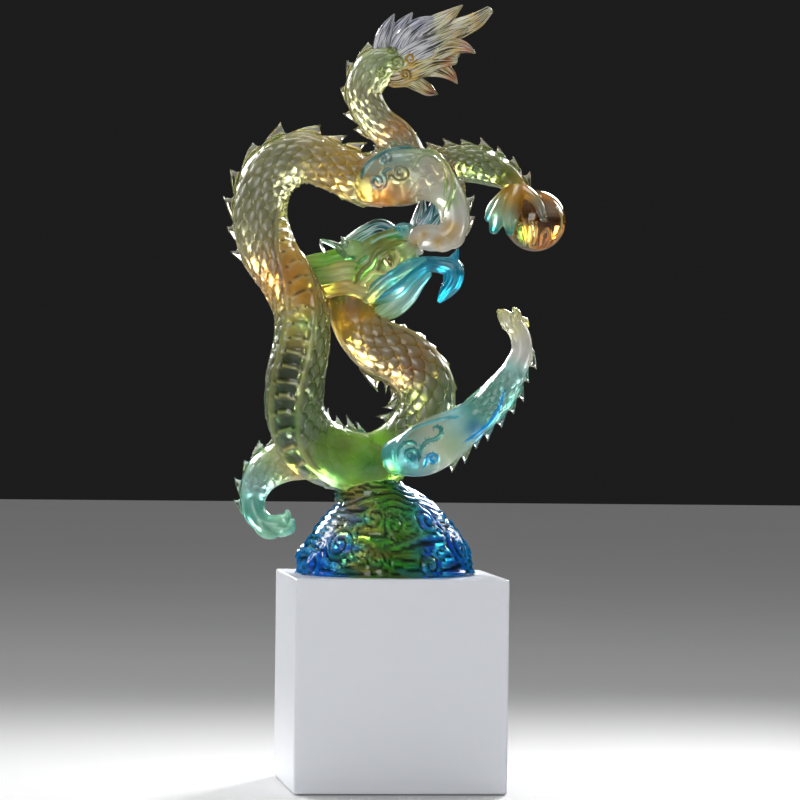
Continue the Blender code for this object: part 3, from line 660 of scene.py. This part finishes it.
def fin(name, path, start, end, sizes, tints):
    """A clear saw-toothed fin along a limb's back. Each tooth sweeps towards the tail."""
    pitch, height, thickness = sizes
    count = max(1, round((end - start) * path.length / pitch))
    rings = count * TOOTH_RINGS
    step = np.arange(rings + 1)
    tooth = step % TOOTH_RINGS
    rise = np.where(tooth < TOOTH_TIP, (tooth / TOOTH_TIP) ** 1.2,
                    ((TOOTH_RINGS - tooth) / (TOOTH_RINGS - TOOTH_TIP)) ** 1.5)
    grow = 0.82 + 0.18 * np.sin((step // TOOTH_RINGS) * 2.4)
    top = height * (0.16 + 0.84 * rise * grow)
    places = path.length * (start + (end - start) * step / rings)
    radius = path.at(path.rows[:, 3], places)[:, 0]
    out, side = unit(path.at(path.outward, places)), unit(path.at(path.sideways, places))
    ahead = unit(path.at(path.ahead, places))
    skin = path.at(path.rows[:, :3], places) + out * (radius - 1.0)[:, None]
    piece, ring, bearing, pole = shaped_ball(name, rings, FIN_COLUMNS, POLISHED)
    up = np.cos(bearing)
    lift = np.where(up > 0, top[ring] * up, FIN_ROOT * up)
    lift = np.where(pole, -FIN_ROOT / 2, lift)
    half = thickness / 2 * np.sin(bearing) * np.where(up > 0, 1 - 0.55 * up, 1.0) * np.where(pole, 0.0, 1.0)
    swept = -FIN_SWEEP * np.clip(lift, 0, None) * rise[ring]
    spots = skin[ring] + out[ring] * lift[:, None] + side[ring] * half[:, None] + ahead[ring] * swept[:, None]
    colours = mix(run(tints, places[ring] / path.length), MILK, 0.6 + 0.35 * ramp(lift, 0, height * 0.6))
    return keep(piece, spots, colours)


def egg(name, centre, reach, columns, colour, glass=SATIN, tilt=0.0):
    """A ball or an egg; `tilt` turns it as the front view shows it, in degrees."""
    piece, ring, bearing, pole = shaped_ball(name, columns // 2, columns, glass)
    piece.data.transform(Matrix.Translation(centre) @ Matrix.Rotation(math.radians(tilt), 4, "Y")
                         @ Matrix.Diagonal((*reach, 1.0)))
    points = np.empty(len(piece.data.vertices) * 3)
    piece.data.vertices.foreach_get("co", points)
    return keep(piece, points, np.tile(colour, (len(points) // 3, 1)))


def curl(across, up, size, turns, hand, start, tail=()):
    """Front-view points of a spiral, from its outer end inwards; `tail` leads into it."""
    count = max(8, round(turns * 14))
    points = []
    for step in range(count + 1):
        share = step / count
        angle = math.radians(start) + hand * share * turns * math.tau
        reach = size * (1 - 0.85 * share)
        points.append((across + reach * math.cos(angle), up + reach * math.sin(angle)))
    return (*tail, *points)


def trace(name, host, points, width, colour, back=False, glass=SATIN, columns=8, sink=0.35, grain=2.2):
    """A rounded rib laid along the skin, where the front view's points fall on it."""
    side = 1.0 if back else -1.0
    stations = []
    for across, up in points:
        spot = host.ray_cast(Vector((across, side * 120.0, up)), Vector((0.0, -side, 0.0)))[0]
        if spot is None:
            continue
        if stations and abs(spot.y - stations[-1][1]) > 12.0:
            break
        stations.append((across, spot.y - side * sink * width, up, width))
    if len(stations) < 3:
        return None
    rows = smooth(stations, grain)
    ends = np.linspace(0.0, 1.0, len(rows))
    rows[:, 3] *= np.clip(np.minimum(ends, 1 - ends) * 6 + 0.35, 0.0, 1.0)
    return draw_out(name, Path(rows), columns, ((0, colour), (1, colour)), glass=glass, cap_rings=2)


def bead(name, host, across, up, reach, tilt, colour, back=False):
    """An egg half sunk in the skin, where the front view's point falls on it."""
    side = 1.0 if back else -1.0
    spot = host.ray_cast(Vector((across, side * 120.0, up)), Vector((0.0, -side, 0.0)))[0]
    return egg(name, (across, spot.y, up), reach, 24, colour, POLISHED, tilt)


def mound_width(height):
    """Radius of the mound at a height: full at the foot, rounding over to the crown."""
    return MOUND_RADIUS * (1 - (height / MOUND_RISE) ** RISE_POWER) ** SIDE_POWER


def cloud_bands(bearing, height, width):
    """Relief of the cast clouds: level stream lines that wind up into spirals round each scroll's eye."""
    wander = 6.0 * np.sin(bearing * 3 + height * 0.06) + 1.8 * np.sin(bearing * 8 - height * 0.13)
    phase = (height + wander) / BAND_PITCH
    lift = np.zeros_like(height)
    for degrees, share, size, hand in CLOUD_SCROLLS:
        off = (bearing - math.radians(degrees) + math.pi) % math.tau - math.pi
        across, up = off * width, height - share * MOUND_RISE
        distance = np.hypot(across, up)
        swirl = distance / (BAND_PITCH * 0.95) + hand * np.arctan2(up, across) / math.tau
        near = 1 - ramp(distance, size * 0.95, size * 1.15)
        phase = phase * (1 - near) + swirl * near
        lift = np.maximum(lift, 4.0 * (1 - ramp(distance, 0.0, size * 1.1)))
    wave = 0.5 - 0.5 * np.cos(phase * math.tau)
    return lift + BAND_LIFT * (1 + lift / 6) * (wave ** 0.7 - 0.5), wave


def mound_piece():
    """The cloud mound: a ball primitive pressed into a dome with a flat underside."""
    piece, ring, bearing, pole = shaped_ball("mound", MOUND_RINGS, MOUND_COLUMNS, CLOUD)
    dome_rings = MOUND_RINGS - 4
    down = np.clip(ring / dome_rings, 0.0, 1.0)
    height = MOUND_RISE * (1 - down**2)
    width = mound_width(height)
    inwards = np.clip((ring - dome_rings) / 4, 0.0, 1.0)
    lift, wave = cloud_bands(bearing, height, width)
    fade = ramp(height, 0.0, 4.0) * (1 - ramp(height, MOUND_RISE * 0.86, MOUND_RISE)) * (ring <= dome_rings)
    reach = (width + (lift - 3.4) * fade) * (1 - inwards)
    reach = np.where(pole, 0.0, np.minimum(reach, MOUND_RADIUS))
    spots = np.stack((MOUND_CENTRE[0] + reach * np.sin(bearing), MOUND_CENTRE[1] - reach * np.cos(bearing), height), axis=1)
    side = np.sin(bearing)
    flow = 0.10 * np.sin(height * 0.21 + bearing * 3) + 0.08 * np.sin(height * 0.5 - bearing * 7)
    colours = mix(mix(LEAF, MOSS, 0.5 + 0.5 * np.sin(height * 0.33 + bearing * 4)), HONEY,
                  0.5 * bump(side + 0.25 + flow, 0.12))
    colours = mix(colours, TEAL, bump(np.abs(side + flow) - 0.40, 0.12) * 0.7)
    colours = mix(colours, DEEP_BLUE, ramp(np.abs(side + flow), 0.40, 0.58))
    colours = mix(colours, SKY, ramp(np.abs(side), 0.8, 0.98) * 0.7)
    # Painted highlight: paler sky blue on the crests of the stream lines on the blue sides
    colours = mix(colours, SKY, 0.6 * ramp(wave, 0.7, 1.0) * ramp(np.abs(side), 0.4, 0.6))
    # Painted shade: darker down in the valleys between the stream lines
    colours = colours * (0.04 + 0.96 * ramp(wave, 0.08, 0.42))[:, None]
    return keep(piece, spots, colours)


def saddle_piece():
    """The swelling that joins the coils to the mound, with the mound's stream lines carried over it."""
    piece, ring, bearing, pole = shaped_ball("saddle", SADDLE_RINGS, SADDLE_COLUMNS, CLOUD)
    ball = np.empty(len(piece.data.vertices) * 3)
    piece.data.vertices.foreach_get("co", ball)
    ball = ball.reshape(-1, 3)
    reach = np.asarray(SADDLE_REACH)
    across, up = (ball * reach)[:, 0], (ball * reach)[:, 2]
    phase = (up + 4.0 * np.sin(across * 0.09) + 1.5 * np.sin(across * 0.23 + up * 0.2)) / SADDLE_PITCH
    wave = 0.5 - 0.5 * np.cos(phase * math.tau)
    lift = np.where(pole, 0.0, SADDLE_LIFT * (wave ** 0.7 - 1.0))
    side = ball[:, 0] + 0.12 * np.sin(up * 0.5)
    colours = mix(mix(LIME, LEAF, 0.5 + 0.5 * np.sin(up * 0.4 + across * 0.15)), HONEY, 0.8 * bump(side + 0.45, 0.25))
    colours = mix(colours, SKY, ramp(side, 0.35, 0.75))
    colours = mix(colours, TEAL, 0.7 * ramp(-side, 0.7, 0.95))
    # Painted shade: darker down in the valleys between the stream lines
    colours = colours * (0.04 + 0.96 * ramp(wave, 0.08, 0.42))[:, None]
    return keep(piece, np.asarray(SADDLE_CENTRE) + ball * (reach + lift[:, None]), colours)


def union(name, pieces):
    """One closed casting from overlapping closed forms."""
    base, *others = [piece for piece in pieces if piece]
    moulds = bpy.data.collections.new("moulds")
    for piece in others:
        moulds.objects.link(piece)
    join = base.modifiers.new("join", "BOOLEAN")
    join.operation = "UNION"
    join.solver = "MANIFOLD"
    join.operand_type = "COLLECTION"
    join.collection = moulds
    bpy.context.view_layer.objects.active = base
    bpy.ops.object.modifier_apply(modifier=join.name)
    for piece in others:
        bpy.data.meshes.remove(piece.data)
    bpy.data.collections.remove(moulds)
    base.name = base.data.name = name
    return base


def limb(name, stations, roll, start, end, tints, panel):
    path = Path(smooth(stations, LEG_GRAIN), roll)
    leg = draw_out(name, path, LEG_COLUMNS, tints, carve=leg_carving(panel, path.length), glass=SATIN)
    return [leg, fin(name + "_fin", path, start, end, LEG_FIN, tints)]


def body_pieces():
    rear, fore = Path(smooth(REAR_BODY, BODY_GRAIN)), Path(smooth(FORE_BODY, BODY_GRAIN))
    return [
        draw_out("rear_body", rear, BODY_COLUMNS, REAR_TINTS,
                 carve=body_carving(((0.86, 1.0),), REAR_BELLY_TINTS, rear.length)),
        draw_out("fore_body", fore, BODY_COLUMNS, FORE_TINTS,
                 carve=body_carving(((0.0, 0.22), (0.88, 1.0)), FORE_BELLY_TINTS, fore.length)),
        fin("tail_fin", rear, 0.02, 0.13, TAIL_FIN, REAR_TINTS),
        fin("arch_fin", rear, 0.21, 0.95, BODY_FIN, REAR_TINTS),
        fin("fore_fin", fore, 0.25, 0.78, BODY_FIN, FORE_TINTS),
    ]


def strands(group, stations_list, tints, columns, grain, depth_share=1.0, carve=None, glass=SATIN):
    return [draw_out(f"{group}_{number}", Path(smooth(stations, grain)), columns, tints, depth_share, carve, glass)
            for number, stations in enumerate(stations_list)]


def head_pieces():
    pieces = strands("head", (HEAD,), HEAD_TINTS, 64, 2.4, carve=grooved(16, 0.4, dark=0.85))
    pieces += strands("lower_jaw", (LOWER_JAW,), JAW_TINTS, 64, 2.2, carve=grooved(14, 1.2, 0.01, 0.45))
    pieces += strands("jaw_tip", (((60, 1, 308, 8), (64, 1, 316, 5), (68, 1, 325, 0.8)),), ((0, CYAN), (1, CYAN)),
                      24, 2.4, LOCK_DEPTH)
    for name, tints, grooves, depth_share, stations in HEAD_LEAVES:
        pieces += strands(name, (stations,), tints, grooves * 5, 2.4, depth_share, grooved(grooves, 1.2, 0.004, 0.75),
                          LEAF_GLASS.get(name.split("_")[0], SATIN))
    pieces += strands("horn", HORNS, ((0, MINT), (1, MILK)), 16, 2.0, glass=POLISHED)
    for across, back, up, reach, colour in (
            (-37, -9, 325, (11, 9, 9), PALE_GREEN), (-34, 32, 322, (11, 9, 9), LEAF),
            (29, -4, 322, (4, 4, 3.5), MILK), (-15, -20, 302, (3, 3, 3), STRAW)):
        pieces.append(egg("brow", (across, back, up), reach, 24, colour))
    return pieces


# Ribs laid on the skin where the front view shows them, and again at the back: (points, width, colour)
THIGH_RIBS = (
    (((-28, 394), (-22.5, 407), (-15.4, 413), (-5, 420), (11, 424), (25, 424)), 3.2, TEAL),
    (((25, 420), (42, 421), (56, 407), (62, 388.5), (57, 366), (52, 352)), 2.7, PALE_GREEN),
    (((20, 399), (27.5, 413), (39, 417), (50, 407), (55, 390), (51, 368), (47, 354)), 2.3, PALE_GREEN),
    (((-3, 392), (1, 382), (2, 370)), 1.8, PALE_GREEN),
    (((-36, 388), (-33, 376), (-24, 367), (-10, 364), (4, 368), (16, 374)), 2.2, STRAW),
    (curl(-5, 413, 6.0, 1.3, -1, 90), 2.0, TEAL),
    (curl(-12, 391, 8.5, 1.6, -1, 60, ((4, 404), (-4, 402))), 2.2, TEAL),
    (curl(10, 399, 9.0, 1.6, 1, 200, ((-4, 388),)), 2.2, OLIVE),
)
FORELEG_RIBS = (
    (((3.7, 110), (4, 122), (9, 132), (22, 144.4), (38.8, 151.4), (55.6, 155.6), (70, 158)), 2.4, AQUA),
    ((*curl(21, 119, 7.5, 1.5, 1, -20)[::-1], (31, 127), (36, 133), (45, 136), (50, 141), (49, 147), (44, 147.5), (42.5, 144)), 2.3, TEAL),
    (((6.5, 116), (8.5, 125), (14, 131), (21, 132.5), (27, 129.5)), 2.0, TEAL),
    (curl(42, 116, 5.5, 1.4, -1, 150, ((33, 108), (35, 113))), 2.0, SKY),
    (((72, 132), (84, 140), (98, 152), (108, 168), (113, 186)), 2.4, SKY),
    (((66, 158), (76, 172), (90, 184), (104, 196), (114, 205)), 2.2, MINT),
)
HEAD_RIBS = (
    (((-37, 290), (-29, 301), (-19, 310), (-14, 321), (-1.5, 327.5), (17, 332.5)), 3.5, OLIVE),
    (((-30, 288), (-22, 297), (-16, 303)), 2.4, STRAW),
    (((-14, 301), (-10, 312), (-3, 320), (4.8, 324)), 2.2, OLIVE),
    (((-14, 301), (-5, 301), (3, 307), (7, 316), (4.8, 324)), 2.2, STRAW),
    (((-12, 326), (4, 333), (20, 337)), 2.4, LEAF),
    (((-20, 330), (-4, 338), (12, 341)), 2.2, MINT),
    (curl(13, 344, 6.0, 1.3, 1, 180), 2.2, AQUA),
    (((-22, 318), (-30, 312), (-36, 302)), 2.2, LEAF),
    (((-14, 274), (2, 284), (18, 297), (34, 308), (50, 314)), 3.0, CYAN),
    (((-8, 292), (6, 298), (20, 306), (34, 314)), 2.2, AQUA),
)
TUFT_RIBS = (
    (curl(6, 511, 8.5, 1.8, 1, 200), 1.4, OLIVE),
    (curl(20, 515, 6.0, 1.5, -1, 0), 1.3, HONEY),
    (curl(15, 499, 5.5, 1.5, 1, -60), 1.3, UMBER),
    (curl(1, 524, 5.0, 1.4, -1, 40), 1.3, OLIVE),
    (curl(-8, 500, 5.0, 1.3, 1, 90), 1.3, OLIVE),
)
PEARL_RIBS = (
    (((131, 356), (135.5, 347), (136, 338), (134, 329)), 2.6, HONEY),
    (((140, 353), (144.5, 343), (142.5, 329)), 1.8, STRAW),
    (((137, 355), (140, 345), (139, 334), (140, 326)), 1.5, GOLD),
    (((149, 327), (149.5, 331), (150, 337), (155.5, 345), (157.5, 338), (154, 331)), 1.6, STRAW),
    (((153, 325), (158, 331), (159.5, 338), (158.5, 345)), 1.5, GOLD),
    (((158, 328), (163, 332), (168, 339), (170.5, 349), (169.5, 360), (165, 366)), 1.6, STRAW),
    (((160, 343), (161.5, 336.5), (166, 339), (168, 346)), 1.4, GOLD),
    (((140, 327), (149, 326), (157, 328), (164, 333)), 1.6, HONEY),
    (((125, 347), (125, 338), (131, 329)), 2.6, LEAF),
    (((129.5, 350), (129, 340), (134, 328)), 2.0, LEAF),
)


def cast_dragon():
    """Every swelling of the casting, fused, with its scrolls laid on the skin."""
    pieces = body_pieces()
    for name, leg in LEGS.items():
        pieces += limb(name, *leg)
        pieces += strands(name + "_toe", TOES[name], TOE_TINTS[name], 16, 2.4, carve=grooved(4, 0.6, dark=0.9),
                          glass=SATIN)
    for number, (tints, stations) in enumerate(TUFT_LOCKS):
        pieces += strands(f"tuft_{number}", (stations,), tints, 44, 2.6, LOCK_DEPTH, grooved(10, 1.7, 0.005, 0.55), COMBED)
    pieces += head_pieces()
    pieces.append(saddle_piece())
    pieces.append(egg("pearl", PEARL_CENTRE, [PEARL_RADIUS] * 3, 80, AMBER, DEEP))
    core = union("dragon", [mound_piece(), *pieces])
    skin = BVHTree.FromObject(core, bpy.context.evaluated_depsgraph_get())
    ribs = []
    for group, rows, glass in (("thigh", THIGH_RIBS, SATIN), ("foreleg", FORELEG_RIBS, SATIN),
                               ("head", HEAD_RIBS, SATIN), ("tuft", TUFT_RIBS, SATIN),
                               ("pearl", PEARL_RIBS, SATIN)):
        for number, (points, width, colour) in enumerate(rows):
            for back in (False, True):
                ribs.append(trace(f"{group}_rib_{number}", skin, points, width, colour, back, glass))
    for back in (False, True):
        ribs.append(bead("eye", skin, -1.5, 313.5, (5.0, 3.2, 7.5), -22, STRAW, back))
        ribs.append(bead("pupil", skin, -0.5, 313.0, (2.2, 4.6, 3.4), -22, BROWN, back))
    return union("dragon", [core, *ribs])




# Pools of another colour that ran into the glass, in the front view: (across, up, reach, colour, strength); the milky
# one on the pearl is a painted highlight
POOLS = (
    (-8, 378, 17, ORANGE, 0.95), (14, 374, 15, ORANGE, 0.85), (4, 414, 18, PALE_AQUA, 0.95), (-18, 404, 10, PALE_AQUA, 0.7),
    (34, 404, 16, MILK, 0.5), (-38, 71, 13, GOLD, 0.8), (-50, 49, 10, HONEY, 0.7), (12, 39, 13, LIME, 0.8),
    (-24, 84, 14, STRAW, 0.5), (26, 84, 12, SKY, 0.9), (40, 70, 12, DEEP_BLUE, 0.6), (4, 60, 14, LEAF, 0.7),
    (6, 76, 10, LIME, 0.7), (18, 62, 9, LEAF, 0.8), (-93, 272, 11, STRAW, 0.5),
    (-70, 60, 20, SKY, 0.5), (-60, 92, 12, SKY, 0.4),
    (-32, 392, 10, OLIVE, 0.6), (66, 352, 12, MILK, 0.8), (58, 338, 9, HONEY, 0.6), (26, 335, 11, MILK, 0.9),
    (-112, 300, 26, ORANGE, 0.5), (-84, 275, 16, AMBER, 0.7), (-140, 380, 26, OLIVE, 0.5), (-108, 425, 20, OLIVE, 0.45),
    (-60, 395, 18, HONEY, 0.7), (-86, 250, 14, LEAF, 0.5), (-95, 200, 22, OLIVE, 0.5), (-118, 210, 16, STRAW, 0.6),
    (-98, 150, 20, LEAF, 0.6), (-20, 108, 14, LEAF, 0.8), (2, 100, 12, LIME, 0.9), (-45, 130, 16, OLIVE, 0.7),
    (12, 150, 16, OLIVE, 0.6), (-6, 225, 14, HONEY, 0.6), (24, 205, 14, ORANGE, 0.6), (55, 195, 15, PALE_GREEN, 0.6),
    (60, 170, 12, SKY, 0.45), (22, 116, 9, SKY, 0.6), (60, 128, 14, PALE_GREEN, 0.4), (84, 146, 9, SKY, 0.7),
    (124, 245, 10, STRAW, 0.6), (-130, 100, 14, JADE, 0.4), (-112, 118, 12, STRAW, 0.4), (60, 405, 18, HONEY, 0.3),
    (86, 400, 16, LEAF, 0.5), (126, 392, 9, STRAW, 0.6), (108, 372, 10, MINT, 0.6), (132, 335, 12, LEAF, 0.6),
    # The MILK pool at (160, 362) is a painted highlight on the pearl
    (160, 335, 14, ORANGE, 0.8), (140, 360, 20, BROWN, 0.9), (160, 352, 14, BROWN, 0.6), (160, 362, 8, MILK, 0.95), (150, 330, 9, ORANGE, 0.7), (-40, 268, 12, ORANGE, 0.6),
    (8, 398, 12, AMBER, 0.3), (61, 346, 6, GOLD, 0.9), (47, 331, 5, GOLD, 0.9), (33, 338, 5, HONEY, 0.7),
    (24, 331, 5, GOLD, 0.8), (60, 372, 9, PALE_GREEN, 0.7), (-6, 508, 9, OLIVE, 0.5), (8, 497, 8, HONEY, 0.6),
)


def add_pools(piece):
    """Runs the pools of other colours, and the pearl's painted highlight among them, into the point colours."""
    tint = piece.data.attributes["tint"]
    colours = np.empty(len(piece.data.vertices) * 4)
    tint.data.foreach_get("color", colours)
    colours = colours.reshape(-1, 4)
    points = np.empty(len(piece.data.vertices) * 3)
    piece.data.vertices.foreach_get("co", points)
    points = points.reshape(-1, 3)
    bright = colours[:, :3].max(axis=1, keepdims=True)
    for across, up, reach, colour, strength in POOLS:
        share = strength * bump(np.hypot(points[:, 0] - across, points[:, 2] - up), reach)
        colours[:, :3] = mix(colours[:, :3], np.asarray(colour) * bright, share)
    tint.data.foreach_set("color", colours.ravel())


def settle_colours(piece):
    """Gives the points where two forms met, whose colour and scales are unset, the mean of their neighbours'."""
    tint, scaling = piece.data.attributes["tint"], piece.data.attributes["scales"]
    colours, scales = np.empty(len(piece.data.vertices) * 4), np.empty(len(piece.data.vertices) * 3)
    tint.data.foreach_get("color", colours)
    scaling.data.foreach_get("vector", scales)
    colours, scales = colours.reshape(-1, 4), scales.reshape(-1, 3)
    edges = np.empty(len(piece.data.edges) * 2, dtype=int)
    piece.data.edges.foreach_get("vertices", edges)
    edges = edges.reshape(-1, 2)
    unset = colours[:, 3] > 0.01
    known = np.hstack((colours[:, :3], scales))
    for _ in range(6):
        total, count = np.zeros(known.shape), np.zeros(len(known))
        for here, there in (edges.T, edges.T[::-1]):
            use = unset[here] & ~unset[there]
            np.add.at(total, here[use], known[there[use]])
            np.add.at(count, here[use], 1)
        found = count > 0
        known[found] = total[found] / count[found, None]
        unset[found] = False
    tint.data.foreach_set("color", np.hstack((known[:, :3], np.ones((len(known), 1)))).ravel())
    scaling.data.foreach_set("vector", known[:, 3:].ravel())


dragon = cast_dragon()
settle_colours(dragon)
add_pools(dragon)
dragon.data.transform(SEAT @ LEAN)
dragon.data.shade_smooth()
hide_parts("dragon")
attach(dragon, "root")


ASIDE = math.radians(6.83)
DOWN = math.radians(0.5)
ROLL = math.radians(0.67)
AWAY, EYE, OFFSET = 3.035, 0.2823, 0.0049
LENS = 36 * 4569 / 800


def camera():
    right = Vector((math.cos(ASIDE), -math.sin(ASIDE), 0))
    ahead = Vector((math.sin(ASIDE), math.cos(ASIDE), 0))
    place = -ahead * AWAY + right * OFFSET + Vector((0, 0, EYE))
    look = (ahead * math.cos(DOWN) - Vector((0, 0, 1)) * math.sin(DOWN)).normalized()
    up = right.cross(look)
    cam = bpy.data.objects.new("camera", bpy.data.cameras.new("camera"))
    bpy.context.scene.collection.objects.link(cam)
    cam.matrix_world = (Matrix.Translation(place) @ Matrix((right, up, -look)).transposed().to_4x4()
                        @ Matrix.Rotation(ROLL, 4, "Z"))
    cam.data.lens = LENS
    cam.data.clip_end = 50
    bpy.context.scene.camera = cam


def area(name, place, size, power, spread=180):
    lamp = bpy.data.objects.new(name, bpy.data.lights.new(name, "AREA"))
    bpy.context.scene.collection.objects.link(lamp)
    lamp.data.shape = "RECTANGLE"
    lamp.data.size, lamp.data.size_y = size
    lamp.data.energy = power
    lamp.data.spread = math.radians(spread)
    lamp.location = place
    aim = Vector((0, 0, 0.36)) - Vector(place)
    lamp.rotation_euler = aim.to_track_quat("-Z", "Y").to_euler()


def white_lacquer():
    """Sprayed white lacquer: a faint cool mottling, an even orange-peel skin and slightly uneven gloss."""
    finish = Finish("sprayed_lacquer")
    mottle = finish.noise(6.0, 1.0)
    colour = finish.mix(mottle, (0.91, 0.93, 0.98, 1.0), (0.87, 0.90, 0.96, 1.0))
    finish.bump(finish.noise(420.0, 2.0), 0.0001, 0.3)
    return finish.shade(Base_Color=colour, Roughness=finish.ramp(mottle, 0.0, 1.0, 0.26, 0.36),
                        Coat_Weight=0.3, Coat_Roughness=0.12)


def plain_floor():
    """Pale matt card with a barely visible tooth."""
    finish = Finish("pale_floor")
    cloud = finish.noise(3.0, 2.0)
    colour = finish.mix(cloud, (0.64, 0.64, 0.65, 1.0), (0.68, 0.68, 0.68, 1.0))
    finish.bump(finish.noise(600.0, 1.0), 0.0001, 0.2)
    return finish.shade(Base_Color=colour, Roughness=0.6)


plinth = bpy.data.objects["plinth"]
plinth.data.materials.clear()
plinth.data.materials.append(white_lacquer())

camera()
bpy.ops.mesh.primitive_plane_add(size=12, location=(0, 0, -0.0005))
floor = bpy.context.object
floor.name = "floor"
floor.data.materials.append(plain_floor())
area("key", (-0.9, -2.6, 1.1), (1.2, 1.2), 25)
area("rim_left", (-1.2, 0.7, 1.0), (0.3, 0.8), 0.7, 45)
area("rim_right", (1.2, 0.7, 1.0), (0.3, 0.8), 0.7, 45)
area("glow_left", (-0.7, 1.5, 1.0), (0.35, 0.7), 2.7, 40)
area("glow_right", (0.7, 1.5, 1.0), (0.35, 0.7), 2.7, 40)
area("top", (0, 0.4, 2.2), (1.2, 0.8), 14)


def studio_world():
    """Dark at the horizon behind the figure, soft and brighter overhead."""
    world = bpy.data.worlds.new("studio")
    world.use_nodes = True
    nodes, links = world.node_tree.nodes, world.node_tree.links
    spot = nodes.new("ShaderNodeTexCoord")
    split = nodes.new("ShaderNodeSeparateXYZ")
    glow = nodes.new("ShaderNodeMapRange")
    for socket, value in (("From Min", 0.12), ("From Max", 0.9), ("To Min", 0.012), ("To Max", 0.3)):
        glow.inputs[socket].default_value = value
    links.new(spot.outputs["Generated"], split.inputs[0])
    links.new(split.outputs["Z"], glow.inputs["Value"])
    links.new(glow.outputs[0], nodes["Background"].inputs["Strength"])
    nodes["Background"].inputs["Color"].default_value = (1.0, 1.0, 1.0, 1.0)
    bpy.context.scene.world = world


studio_world()
bpy.context.scene.view_settings.view_transform = "Standard"
bpy.context.scene.cycles.transmission_bounces = 20
bpy.context.scene.cycles.max_bounces = 20
